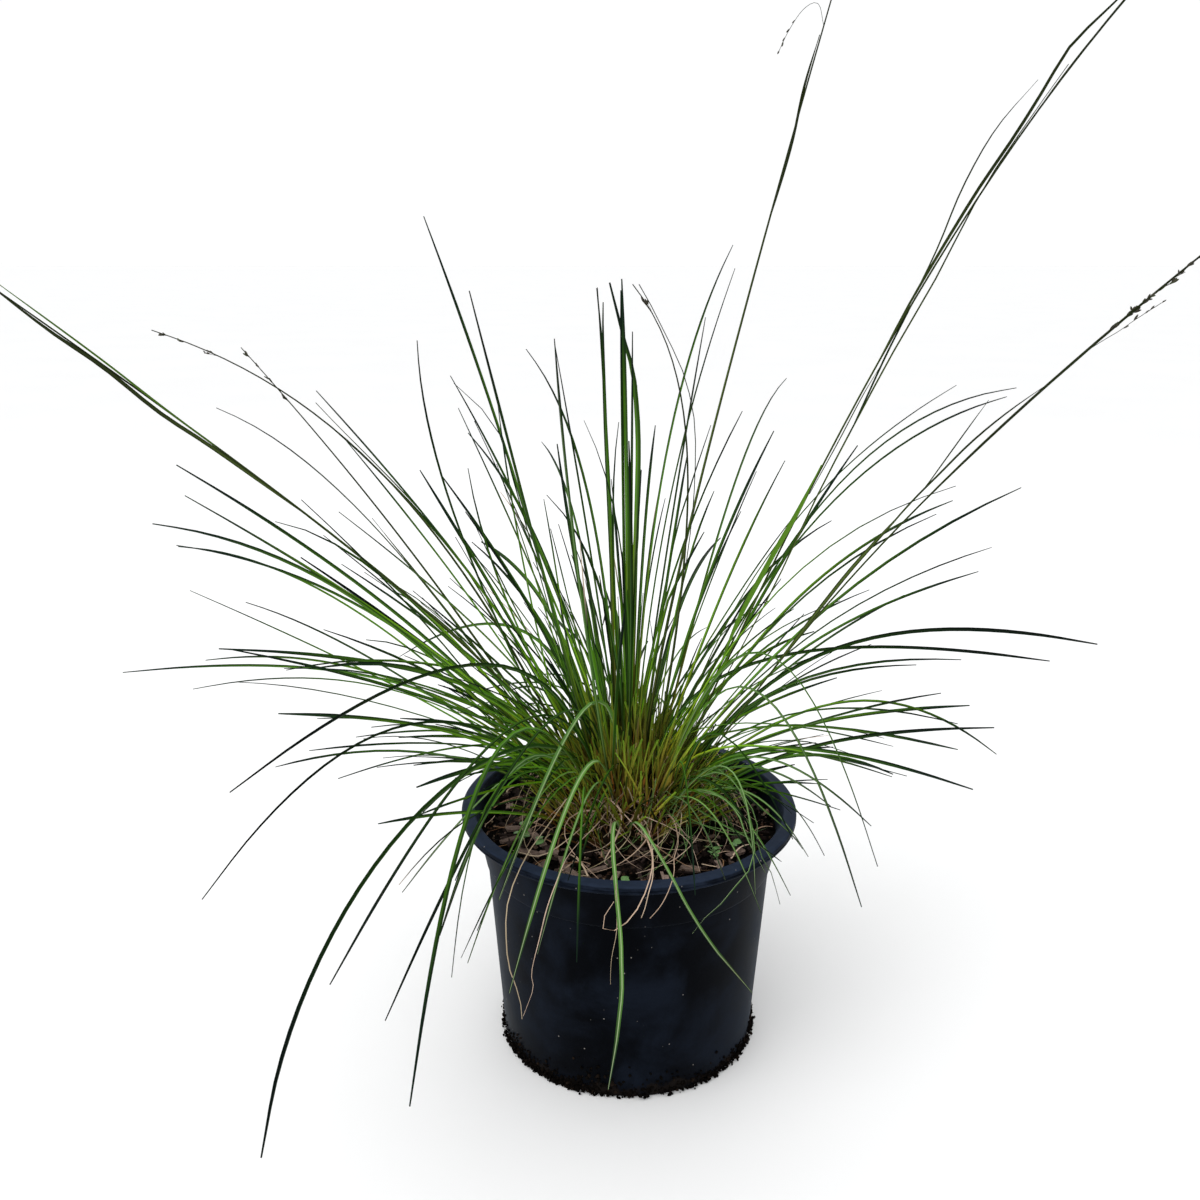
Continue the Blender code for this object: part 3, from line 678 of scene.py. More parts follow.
class Nodes:
    """A short hand for building a material's nodes."""

    def __init__(self, name):
        self.material = bpy.data.materials.new(name)
        self.material.use_nodes = True
        self.tree = self.material.node_tree
        self.shader = self.tree.nodes["Principled BSDF"]
        self.set_shader({"Metallic": 0.0})

    def put(self, socket, value):
        """Set a socket, or link it where the value is another node's output."""
        if isinstance(value, bpy.types.NodeSocket):
            self.tree.links.new(value, socket)
        elif hasattr(value, "__len__") and len(value) == 3 and socket.type == "RGBA":
            socket.default_value = (*value, 1.0)
        else:
            socket.default_value = value

    def set_shader(self, values):
        for name, value in values.items():
            self.put(self.shader.inputs[name], value)

    def node(self, kind, *values, named=None, **settings):
        """Add a node with its settings, give its sockets values in order or by name, and return its outputs."""
        node = self.tree.nodes.new(f"ShaderNode{kind}")
        for name, setting in settings.items():
            setattr(node, name, setting)
        for key, value in (*enumerate(values), *(named or {}).items()):
            self.put(node.inputs[key], value)
        return node.outputs

    def attribute(self, name):
        return self.node("Attribute", attribute_name=name)["Fac"]

    def place(self, scale=(1, 1, 1)):
        return self.node("Mapping", named={"Vector": self.node("TexCoord")["Object"], "Scale": scale})["Vector"]

    def noise(self, vector, scale, detail=3.0, rough=0.5, distortion=0.0):
        return self.node("TexNoise", named={"Vector": vector, "Scale": scale, "Detail": detail, "Roughness": rough,
                                            "Distortion": distortion})["Fac"]

    def grain(self, stretch, *noise):
        """Noise drawn out along a piece: one axis for each attribute, times its number."""
        return self.noise(self.join(*[self.times(self.attribute(name), scale) for name, scale in stretch.items()]),
                          *noise)

    def cells(self, vector, scale):
        return self.node("TexVoronoi", named={"Vector": vector, "Scale": scale})

    def math(self, operation, a, b=0.0):
        return self.node("Math", a, b, operation=operation)[0]

    def times(self, a, b):
        return self.math("MULTIPLY", a, b)

    def plus(self, a, b):
        return self.math("ADD", a, b)

    def fit(self, value, low, high, to_low=0.0, to_high=1.0):
        """Map a range of a value smoothly on to another, and hold it there."""
        return self.node("MapRange", value, low, high, to_low, to_high, interpolation_type="SMOOTHSTEP")["Result"]

    def mix(self, share, a, b, blend="MIX"):
        return self.node("Mix", named={"Factor": share, "A": a, "B": b}, data_type="RGBA", blend_type=blend)["Result"]

    def toned(self, color, pattern, low, high, dark, light, share=1.0):
        """Darken and lighten a colour after a pattern."""
        return self.mix(share, color, self.mix(self.fit(pattern, low, high), dark, light), "MULTIPLY")

    def ramp(self, value, *stops):
        """A colour that changes with a value, from one stop to the next."""
        color = self.node("ValToRGB", value)["Color"]
        elements = color.node.color_ramp.elements
        while len(elements) < len(stops):
            elements.new(0.5)
        for element, (position, shade) in zip(elements, stops):
            element.position = position
            element.color = (*shade, 1.0)
        return color

    def join(self, *values):
        return self.node("CombineXYZ", *values)["Vector"]

    def split(self, vector):
        return self.node("SeparateXYZ", vector)

    def finish(self, color, roughness, specular, height, strength, distance):
        """Give the material its colour and gloss, and its relief from a height."""
        bump = self.node("Bump", named={"Strength": strength, "Distance": distance, "Height": height})
        self.set_shader({"Base Color": color, "Roughness": roughness, "Specular IOR Level": specular,
                         "Normal": bump["Normal"]})
        return self.material


def shade_of(color, factor):
    """A darker or lighter version of a colour."""
    return tuple(min(1.0, channel * factor) for channel in color)


def grass_material(name):
    """Living blades: olive at the sheath, green, and dark at the tip, with fine lengthwise veins, and with painted
    light and shade on whole blades and on the two halves of each.
    """
    leaf = bpy.context.scene.dropseed_leaf
    crown = bpy.context.scene.dropseed_crown
    n = Nodes(name)
    along, across, tone, pale = (n.attribute(key) for key in ("along", "across", "tone", "pale"))
    blend = tuple(0.4 * a + 0.6 * b for a, b in zip(leaf.base, leaf.middle))
    green = n.ramp(along, (0.0, shade_of(leaf.base, 0.4)), (0.05, leaf.base), (0.13, blend), (0.30, leaf.middle),
                   (0.64, shade_of(leaf.middle, 0.45)), (0.86, leaf.tip))
    # Each blade is made lighter or darker by its tone: partly its own colour, and partly painted light and shade for
    # blades lit or shaded within the clump
    fresh = n.mix(n.fit(tone, 0.52, 1.0), green, (2.2, 1.75, 0.9), "MULTIPLY")
    painted_light_and_tone = n.mix(n.fit(tone, 0.46, 0.0), fresh, (0.19, 0.28, 0.29), "MULTIPLY")
    # Painted light and shade: one half of each blade is lightened as if lit and the other darkened as if shaded, the
    # side picked by its tone
    painted_lit_half = n.times(across, n.math("SIGN", n.math("SUBTRACT", tone, 0.45)))
    painted_light_and_tone = n.toned(painted_light_and_tone, painted_lit_half, -0.25, 0.25, (0.50, 0.55, 0.62), (1.50, 1.42, 1.25))
    faded = n.mix(n.times(pale, n.fit(along, 0.98, 0.55)), painted_light_and_tone, (0.100, 0.225, 0.055))
    veins = n.grain({"across": 2.6, "reach": 14.0, "tone": 40.0}, 2.4, 4.0, 0.6)
    striped = n.toned(faded, veins, 0.35, 0.75, (0.70, 0.72, 0.70), (1.32, 1.28, 1.15), 0.9)
    lively = n.fit(n.math("SUBTRACT", along, pale), 0.75, 0.30, 0.08, 1.0)
    middle_vein = n.times(n.fit(n.math("ABSOLUTE", across), 0.42, 0.05), lively)
    ribbed = n.mix(n.times(middle_vein, n.fit(pale, 0.0, 0.8, 0.14, 0.80)), striped, (0.33, 0.43, 0.22))
    blotches = n.grain({"reach": 26.0, "tone": 90.0}, 1.0, 2.0)
    patchy = n.mix(n.times(n.fit(blotches, 0.62, 0.78, 0.0, 0.30), lively), ribbed, (0.23, 0.20, 0.05))
    straw = n.mix(n.fit(veins, 0.3, 0.7), shade_of(crown.straw, 0.55), crown.straw)
    color = n.mix(n.attribute("dry"), patchy, straw)
    return n.finish(color, n.fit(veins, 0.2, 0.8, 0.46, 0.62), 0.05, veins, 0.25, 0.15 * MM)


def sheath_material(name):
    """Packed leaf bases: olive and rust sheaths with pale fibres, darkened towards their feet by painted shade where
    they meet the soil.
    """
    crown = bpy.context.scene.dropseed_crown
    n = Nodes(name)
    along, tone = n.attribute("along"), n.attribute("tone")
    # These ramps, and the one for faded sheaths below, start near-black at the sheaths' feet: painted shade where
    # they crowd together and meet the soil
    green = n.ramp(along, (0.0, (0.004, 0.003, 0.002)), (0.22, (0.042, 0.026, 0.010)), (0.42, crown.sheath),
                   (0.72, (0.135, 0.170, 0.022)), (1.0, (0.075, 0.160, 0.014)))
    rust = n.ramp(along, (0.0, (0.010, 0.006, 0.004)), (0.24, shade_of(crown.rust, 0.4)), (0.50, crown.rust),
                  (0.75, (0.190, 0.120, 0.030)), (1.0, (0.130, 0.150, 0.020)))
    color = n.mix(n.fit(tone, 0.72, 0.84), green, rust)
    # Each sheath is lighter or darker at random: partly its own tone, and partly painted shade, the near-black ones
    # standing for dark gaps between sheaths
    own = n.math("FRACT", n.times(tone, 17.3))
    color = n.mix(1.0, color, n.mix(own, (0.12, 0.13, 0.15), (2.60, 2.40, 2.10)), "MULTIPLY")
    faded = n.ramp(along, (0.0, (0.010, 0.007, 0.004)), (0.30, shade_of(crown.faded, 0.35)), (0.60, crown.faded))
    color = n.mix(n.fit(tone, 0.950, 0.955), color, faded)
    fibres = n.grain({"across": 3.0, "along": 1.4, "tone": 60.0}, 3.0, 5.0, 0.65)
    color = n.toned(color, fibres, 0.3, 0.75, (0.42, 0.40, 0.36), (1.5, 1.45, 1.3), 0.9)
    return n.finish(color, n.fit(fibres, 0.2, 0.8, 0.55, 0.75), 0.06, fibres, 0.5, 0.3 * MM)


def straw_material(name):
    """Dry leaves and fibres: straw to pale brown, streaked along their length."""
    crown = bpy.context.scene.dropseed_crown
    n = Nodes(name)
    base = n.ramp(n.attribute("tone"), (0.0, (0.130, 0.062, 0.030)), (0.30, (0.260, 0.150, 0.080)),
                  (0.65, crown.straw), (1.0, (0.300, 0.300, 0.140)))
    streaks = n.grain({"across": 3.0, "reach": 30.0, "tone": 50.0}, 2.0, 4.0, 0.6)
    color = n.toned(base, streaks, 0.3, 0.75, (0.55, 0.50, 0.45), (1.3, 1.25, 1.2), 0.85)
    return n.finish(color, n.fit(streaks, 0.2, 0.8, 0.6, 0.8), 0.12, streaks, 0.4, 0.2 * MM)


def pot_material(name):
    """Black plastic rubbed blue-grey in patches, with painted highlights on the rim and along the lip's top edge,
    dust specks, fine scratches and soil smeared near the foot.
    """
    pot = bpy.context.scene.dropseed_pot
    n = Nodes(name)
    place = n.place()
    height = n.split(place)[2]
    cloud = n.noise(place, 22.0, 5.0, 0.6, 0.3)
    scuffs_and_highlights = n.mix(n.fit(cloud, 0.36, 0.72), pot.plastic, pot.scuff_and_highlight)
    # Painted highlight: the rim band is lightened to blue-grey, in uneven patches, for the light it reflects
    rim = n.fit(height, 143.5 * MM, 146 * MM)
    patchy = n.fit(n.noise(n.place((90, 90, 260)), 1.0, 4.0, 0.6), 0.34, 0.68)
    scuffs_and_highlights = n.mix(n.times(rim, 0.85), scuffs_and_highlights, n.mix(patchy, shade_of(pot.scuff_and_highlight, 0.55), shade_of(pot.scuff_and_highlight, 2.2)))
    # Painted highlight: a thin light line along the top edge of the lip
    lip_highlight = n.fit(height, 149.0 * MM, 149.7 * MM)
    scuffs_and_highlights = n.mix(n.times(lip_highlight, 0.45), scuffs_and_highlights, shade_of(pot.scuff_and_highlight, 5.0))
    streaks = n.noise(n.place((60, 60, 7)), 1.0, 4.0, 0.55)
    scuffs_and_highlights = n.mix(n.times(n.fit(streaks, 0.56, 0.74), 0.35), scuffs_and_highlights, shade_of(pot.scuff_and_highlight, 1.5))
    smear = n.noise(place, 70.0, 6.0, 0.68)
    low = n.fit(height, 16 * MM, 2 * MM)
    soiled = n.fit(n.plus(smear, n.times(low, 0.42)), 0.74, 0.90)
    color = n.mix(soiled, scuffs_and_highlights, pot.dirt)
    specks = n.cells(place, 270.0)
    dust = n.times(n.fit(specks["Distance"], 0.14, 0.07), n.fit(n.split(specks["Color"])[0], 0.90, 0.94))
    color = n.mix(n.times(dust, 0.75), color, (0.26, 0.24, 0.22))
    fine = n.noise(place, 900.0, 2.0, 0.5)
    relief = n.plus(n.plus(n.times(fine, 0.35), n.times(soiled, n.times(smear, 3.0))), n.times(streaks, 0.5))
    rough = n.plus(n.fit(cloud, 0.3, 0.75, pot.roughness - 0.06, pot.roughness + 0.10), n.times(soiled, 0.35))
    n.set_shader({"Sheen Weight": 0.045, "Sheen Roughness": 0.35, "Sheen Tint": (0.55, 0.75, 1.0)})
    return n.finish(color, rough, 0.015, relief, 0.35, 0.35 * MM)


def soil_material(name):
    """Moist potting mix: near-black with brown crumbs and rusty specks."""
    soil = bpy.context.scene.dropseed_soil
    n = Nodes(name)
    place = n.place()
    large, small = n.noise(place, 60.0, 4.0, 0.6), n.noise(place, 420.0, 5.0, 0.7)
    grains = n.cells(place, 520.0)
    color = n.mix(n.fit(small, 0.35, 0.72), shade_of(soil.soil, 0.35), shade_of(soil.soil, 1.8))
    color = n.mix(n.times(n.fit(large, 0.5, 0.8), 0.5), color, shade_of(soil.bark, 0.4))
    color = n.mix(n.times(n.fit(n.split(grains["Color"])[1], 0.90, 0.97), 0.7), color, (0.075, 0.040, 0.026))
    relief = n.plus(small, n.times(grains["Distance"], 0.6))
    return n.finish(color, n.fit(small, 0.3, 0.7, 0.72, 0.95), 0.02, relief, 0.9, 1.1 * MM)


def crumb_material(name):
    """Loose crumbs of the mix, each a little lighter or redder than the next."""
    soil = bpy.context.scene.dropseed_soil
    n = Nodes(name)
    fine = n.noise(n.place(), 700.0, 4.0, 0.65)
    base = n.ramp(n.attribute("tone"), (0.0, shade_of(soil.soil, 0.35)), (0.55, soil.soil),
                  (0.82, (0.050, 0.032, 0.022)), (0.96, shade_of(soil.bark, 0.9)), (1.0, (0.26, 0.20, 0.13)))
    color = n.toned(base, fine, 0.3, 0.7, (0.5, 0.5, 0.5), (1.4, 1.35, 1.3), 0.8)
    return n.finish(color, n.fit(fine, 0.3, 0.7, 0.75, 0.95), 0.02, fine, 0.8, 0.5 * MM)


def bark_material(name):
    """Weathered bark chips: grey-brown to red-brown with dark grain along each chip."""
    soil = bpy.context.scene.dropseed_soil
    n = Nodes(name)
    base = n.ramp(n.attribute("tone"), (0.0, (0.010, 0.007, 0.006)), (0.35, (0.028, 0.019, 0.017)),
                  (0.62, (0.065, 0.046, 0.042)), (0.85, soil.bark), (1.0, (0.400, 0.300, 0.255)))
    grain = n.grain({"across": 5.0, "along": 0.8, "tone": 70.0}, 1.6, 6.0, 0.7, 0.4)
    color = n.toned(base, grain, 0.32, 0.72, (0.28, 0.26, 0.25), (1.55, 1.5, 1.45), 0.95)
    return n.finish(color, n.fit(grain, 0.3, 0.7, 0.70, 0.90), 0.04, grain, 0.9, 0.8 * MM)


def stem_material(name):
    """Flower stems and panicles: green below, purplish brown at the spikelets, with fine ribs."""
    stem = bpy.context.scene.dropseed_stem
    n = Nodes(name)
    tone = n.attribute("tone")
    green = n.ramp(n.attribute("along"), (0.0, (0.110, 0.105, 0.020)), (0.15, shade_of(stem.green, 1.3)),
                   (0.42, stem.green), (0.62, shade_of(stem.green, 0.30)), (1.0, shade_of(stem.green, 0.14)))
    edge = n.fit(n.math("ABSOLUTE", n.attribute("across")), 0.30, 0.75)
    green = n.mix(n.times(edge, 0.75), green, shade_of(stem.green, 0.12))
    green = n.mix(n.fit(tone, 0.35, 0.0), green, (0.22, 0.32, 0.5), "MULTIPLY")
    green = n.mix(n.fit(tone, 0.6, 0.9), green, (0.085, 0.205, 0.016))
    ribs = n.grain({"across": 3.0, "reach": 10.0, "tone": 30.0}, 2.6, 3.0, 0.6)
    color = n.toned(green, ribs, 0.3, 0.75, (0.66, 0.66, 0.6), (1.3, 1.25, 1.15), 0.8)
    seed = n.mix(n.noise(n.place(), 900.0, 3.0), shade_of(stem.spikelet, 0.5), shade_of(stem.spikelet, 1.9))
    color = n.mix(n.attribute("dry"), color, seed)
    return n.finish(color, n.fit(ribs, 0.2, 0.8, 0.48, 0.65), 0.07, ribs, 0.35, 0.15 * MM)


def seedling_material(name):
    """Seedling leaves: fresh green with paler veins and a darker edge."""
    n = Nodes(name)
    across, along = n.attribute("across"), n.attribute("along")
    veins = n.grain({"across": 2.0, "along": 2.0, "tone": 20.0}, 2.2, 4.0, 0.6, 0.5)
    color = n.mix(n.fit(veins, 0.3, 0.7), (0.070, 0.165, 0.045), (0.150, 0.290, 0.095))
    edge = n.fit(n.plus(n.math("POWER", across, 2.0), n.math("POWER", along, 2.0)), 0.6, 1.0)
    color = n.mix(n.times(edge, 0.4), color, (0.035, 0.095, 0.030))
    return n.finish(color, n.fit(veins, 0.2, 0.8, 0.4, 0.55), 0.35, veins, 0.3, 0.2 * MM)


def floor_material(name):
    """A pale matt studio floor with the faintest unevenness."""
    stage = bpy.context.scene.dropseed_stage
    n = Nodes(name)
    faint = n.noise(n.place(), 3.0)
    color = n.mix(n.fit(faint, 0.3, 0.7), shade_of(stage.floor, 0.985), stage.floor)
    n.set_shader({"Base Color": color, "Roughness": n.fit(faint, 0.3, 0.7, 0.70, 0.78), "Specular IOR Level": 0.2})
    return n.material


MATERIALS = {
    "grass_blade": grass_material,
    "crown_sheath": sheath_material,
    "dry_straw_leaf": straw_material,
    "black_pot_plastic": pot_material,
    "potting_mix": soil_material,
    "soil_crumbs": crumb_material,
    "weathered_bark": bark_material,
    "stem_and_panicle": stem_material,
    "seedling_leaf": seedling_material,
}


# Pieces

class DROPSEED_OT_pot(Operator):
    """Model the nursery pot with its rolled rim, stepped collar and drain holes"""
    bl_idname = "dropseed.pot"
    bl_label = "Nursery Pot"

    def execute(self, context):
        profile = (*OUTER_WALL, *reversed(INNER_WALL), (40, BASE_THICKNESS), (0, BASE_THICKNESS))
        pot = model_turned("nursery_pot_shell", profile, context.scene.dropseed_pot.steps)
        holes = []
        for hole in range(DRAIN_HOLES):
            place = around(2 * pi / DRAIN_HOLES * hole, 56 * MM, 0)
            bpy.ops.mesh.primitive_cylinder_add(vertices=32, radius=7 * MM, depth=12 * MM, location=place)
            holes.append(context.object)
        pick(holes[0])
        for hole in holes:
            hole.select_set(True)
        bpy.ops.object.join()
        cut = pot.modifiers.new("Drain holes", "BOOLEAN")
        cut.operation = "DIFFERENCE"
        cut.solver = "EXACT"
        cut.object = holes[0]
        pick(pot)
        bpy.ops.object.modifier_apply(modifier=cut.name)
        bpy.data.objects.remove(holes[0])
        finish_piece(pot, "black_pot_plastic", ("nursery_pot",), 32)
        return {"FINISHED"}


class DROPSEED_OT_foot_crumbs(Operator):
    """Stick damp soil crumbs round the foot of the pot"""
    bl_idname = "dropseed.foot_crumbs"
    bl_label = "Foot Crumbs"

    def execute(self, context):
        rng = np.random.default_rng(31)
        lumps = [model_lump(1, 0.38, seed) for seed in range(6)]
        heap = Heap()
        clumps = rng.uniform(0, 2 * pi, 46)
        for _ in range(context.scene.dropseed_pot.foot_crumbs):
            angle = rng.choice(clumps) + rng.normal(0, 0.10) if rng.random() < 0.55 else rng.uniform(0, 2 * pi)
            size = min(rng.gamma(2.0, 0.24), 1.0) * MM + 0.25 * MM
            height = rng.exponential(2.6 + 2.4 * (sin(3 * angle) > 0.3)) * MM + 0.6 * size
            out = FOOT_RADIUS + FOOT_FLARE * height + rng.uniform(-0.5, 0.35) * size
            if height < 3.5 * MM:
                out += abs(rng.normal(0, 1.1)) * MM
            lump = lumps[rng.integers(len(lumps))]
            corners = placed(lump, size * rng.uniform(0.7, 1.25, 3), random_turn(rng, 180),
                             around(angle, out, height))
            corners[:, 2] = np.maximum(corners[:, 2], 0.05 * MM)
            heap.add(corners, lump[1], tone=rng.uniform(0.30, 0.62))
        finish_piece(heap.make("foot_crumbs"), "soil_crumbs", (), 30)
        return {"FINISHED"}


def wall_radius(height):
    """The pot's inside radius at a height, both in millimetres."""
    radii, heights = zip(*INNER_WALL)
    return float(np.interp(height, heights, radii))


class DROPSEED_OT_mix(Operator):
    """Model the potting mix, heaped and lumpy under the rim"""
    bl_idname = "dropseed.mix"
    bl_label = "Potting Mix"

    def execute(self, context):
        edge, low = wall_radius(137) - WALL_GAP, BASE_THICKNESS + WALL_GAP
        # The top sinks towards the wall, and the side follows the wall's steps
        top = [(ring, np.interp(ring, (46, 60, 80, edge), (140.0, 139.6, 137.6, 137.2)))
               for ring in np.arange(2.0, edge - 1, 2.0)]
        side = [(wall_radius(height) - WALL_GAP, height) for height in (137.0, 117.5, 116.3)]
        profile = [(0, 139.5), *top, *side, (wall_radius(BASE_THICKNESS) - WALL_GAP, low), (0, low)]
        mix = model_turned("potting_mix_surface", profile, 144)
        inner = [v.index for v in mix.data.vertices if v.co.z > 130 * MM and hypot(v.co.x, v.co.y) < (edge - 1) * MM]
        mix.vertex_groups.new(name="top").add(inner, 1.0, "REPLACE")
        pick(mix)
        for label, size, strength in (("lumps", 15 * MM, 5.5 * MM), ("crumbs", 4.5 * MM, 3.4 * MM)):
            texture = bpy.data.textures.new(f"soil_{label}", "CLOUDS")
            texture.noise_scale = size
            texture.noise_depth = 3
            shift = mix.modifiers.new(label, "DISPLACE")
            shift.texture = texture
            shift.texture_coords = "LOCAL"
            shift.direction = "Z"
            shift.mid_level = 0.5
            shift.strength = strength
            shift.vertex_group = "top"
        for label in ("lumps", "crumbs"):
            bpy.ops.object.modifier_apply(modifier=label)
        finish_piece(mix, "potting_mix", ("potting_mix",), 60)
        return {"FINISHED"}


def soil_spot(rng, low, high):
    """A random place on the potting mix: its angle, distance out and height."""
    angle = rng.uniform(0, 2 * pi)
    out = (low ** 2 + rng.random() * (high ** 2 - low ** 2)) ** 0.5
    height = float(np.interp(out, (46, 60, 80, 88), (140.2, 139.8, 137.9, 137.4)))
    return angle, out * MM, height * MM


def add_chip(heap, chip, half, turn, place, tone):
    """One bark chip, with its grain along it."""
    corners, faces = chip
    heap.add(placed(chip, half, turn, place), faces, along=corners[:, 0] * half[0] / (4 * MM),
             across=corners[:, 1] + corners[:, 2], tone=tone)


class DROPSEED_OT_litter(Operator):
    """Scatter bark chips, crumbs and fibres over the potting mix"""
    bl_idname = "dropseed.litter"
    bl_label = "Soil Litter"

    def execute(self, context):
        soil = context.scene.dropseed_soil
        rng = np.random.default_rng(7)
        chips = [model_chip(seed) for seed in range(6)]
        heap = Heap()
        for _ in range(soil.chips):
            chip = chips[rng.integers(len(chips))]
            length = min(rng.gamma(3.4, 1.6) + 2.4, 15.0) / 2 * MM
            half = np.array((length, length * rng.uniform(0.13, 0.30), rng.uniform(0.35, 0.85) * MM))
            angle, out, height = soil_spot(rng, 44, 85 - length / MM * 0.7)
            add_chip(heap, chip, half, random_turn(rng, 28),
                     around(angle, out, height + rng.uniform(0.2, 2.0) * MM), rng.beta(0.9, 1.7))
        for degrees, out, length, across in LARGE_CHIPS:
            chip = chips[rng.integers(len(chips))]
            half = np.array((length, across, rng.uniform(0.9, 1.5))) / 2 * MM
            add_chip(heap, chip, half, turn_about_z(rng.uniform(0, pi)) @ random_turn(rng, 5),
                     around(radians(degrees), out * MM, (142.6 - 0.07 * (out - 46)) * MM), rng.uniform(0.82, 1.0))
        finish_piece(heap.make("bark_chips"), "weathered_bark", (), 28)
        lumps = [model_lump(1, 0.35, seed) for seed in range(5)]
        heap = Heap()
        for _ in range(soil.crumbs):
            lump = lumps[rng.integers(len(lumps))]
            size = rng.gamma(2.2, 0.28) * MM + 0.35 * MM
            angle, out, height = soil_spot(rng, 40, 87)
            corners = placed(lump, size * rng.uniform(0.6, 1.3, 3), random_turn(rng, 180),
                             around(angle, out, height + rng.uniform(-0.3, 1.5) * MM))
            heap.add(corners, lump[1], tone=rng.uniform(0, 1))
        finish_piece(heap.make("soil_crumbs"), "soil_crumbs", (), 30)
        strip = model_strip(4, 7)
        heap = Heap()
        t = np.linspace(-0.5, 0.5, 8)
        for _ in range(soil.fibres):
            angle, out, height = soil_spot(rng, 48, 84)
            length = rng.uniform(6, 30) * MM
            ahead, aside, _ = turn_about_z(rng.uniform(0, 2 * pi)).T
            bend = rng.normal(0, 0.35)
            arch = rng.uniform(0, 2.0) * MM * np.cos(pi * t)
            route = around(angle, out, height + 2.2 * MM + arch)
            route += length * (np.outer(t, ahead) + bend * np.outer(t * t, aside))
            route[:, :2] *= np.minimum(1, SOIL_EDGE / np.hypot(route[:, 0], route[:, 1]))[:, None]
            heap.add_strip(strip, route, rng.uniform(0.5, 1.1) * MM, 0.35 * MM, length=length,
                           tone=rng.uniform(0, 0.9))
        finish_piece(heap.make("soil_fibres"), "dry_straw_leaf")
        return {"FINISHED"}


class DROPSEED_OT_seedlings(Operator):
    """Plant the small round-leaved seedlings in the potting mix"""
    bl_idname = "dropseed.seedlings"
    bl_label = "Seedlings"

    def execute(self, context):
        rng = np.random.default_rng(5)
        disc, strip = model_round_leaf(), model_strip(4, 3)
        heap = Heap()
        for degrees, out in SEEDLINGS:
            foot = around(radians(degrees), out * MM, 139 * MM)
            for _ in range(rng.integers(2, 4)):
                heading, size = rng.uniform(0, 2 * pi), rng.uniform(1.7, 2.7) * MM
                centre = foot + around(heading, 1.25 * size, rng.uniform(3.0, 5.5) * MM)
                heap.add(placed(disc, size, random_turn(rng, 22), centre), disc[1], along=disc[0][:, 0],
                         across=disc[0][:, 1], tone=rng.random())
                heap.add_strip(strip, np.linspace(foot, centre - (0, 0, 0.2 * MM), 4), 0.6 * MM, 0.6 * MM,
                               along=0.0, across=0.0, tone=rng.random())
        finish_piece(heap.make("seedlings"), "seedling_leaf")
        return {"FINISHED"}


class DROPSEED_OT_crown(Operator):
    """Model the crown as shoots of packed leaf bases that rise from a fibrous mound"""
    bl_idname = "dropseed.crown"
    bl_label = "Crown"

    def execute(self, context):
        crown = context.scene.dropseed_crown
        rng = np.random.default_rng(11)
        heap = Heap()
        corners, faces = model_lump(4, 0.02, 3)
        mound = corners * (MOUND_SHARE * CROWN_RADIUS, MOUND_SHARE * CROWN_RADIUS, CROWN_TOP - 138 * MM)
        mound[:, 2] = np.where(mound[:, 2] < 0, mound[:, 2] * 0.18, mound[:, 2] * 0.9) + 136 * MM
        # The mound's low along values give it the sheaths' near-black foot colours, painted shade
        heap.add(mound, faces, along=np.clip((mound[:, 2] - SOIL_TOP) / 0.16, 0, 0.14), across=corners[:, 0] * 20,
                 tone=0.5)
        strip = model_strip(4, 6)
        t = np.linspace(0, 1, 8)
        for shoot in range(crown.shoots):
            share = ((shoot + 0.5) / crown.shoots) ** 0.5
            azimuth = shoot * GOLDEN_ANGLE
            lean = 3 + 40 * share ** 1.4 + rng.normal(0, 4)
            shoot_tone = rng.uniform(0, 1)
            for _ in range(crown.sheaths):
                out = MOUND_SHARE * share * CROWN_RADIUS + rng.normal(0, 1.6) * MM
                tilt = radians(lean + rng.normal(0, 9.0))
                rusty = rng.random() < 0.16 + 0.26 * share
                length = rng.uniform(26, 78 - 34 * share) * (0.62 if rusty else 1.0) * MM
                foot = SOIL_TOP - 4 * MM + crown_rise(share)
                swing = azimuth + rng.normal(0, 2.6) * MM / max(out, 9 * MM) + rng.normal(0, 0.20) * t
                outward = out + length * t * sin(tilt) * (0.72 + 0.28 * t)
                widths = rng.uniform(0.8, 2.3) * MM * (1 - 0.5 * t ** 1.3)
                heap.add_strip(strip, around(swing, outward, foot + length * t * cos(tilt)), widths,
                               widths * rng.uniform(0.3, 0.55), 0.15, rng.normal(0, 0.6), rng.normal(0, 0.5),
                               along=strip[0][:, 2],
                               tone=rng.uniform(0.86, 1.0) if rusty else 0.40 * shoot_tone + rng.uniform(0, 0.30))
        finish_piece(heap.make("crown_sheaths"), "crown_sheath", ("crown",))
        return {"FINISHED"}


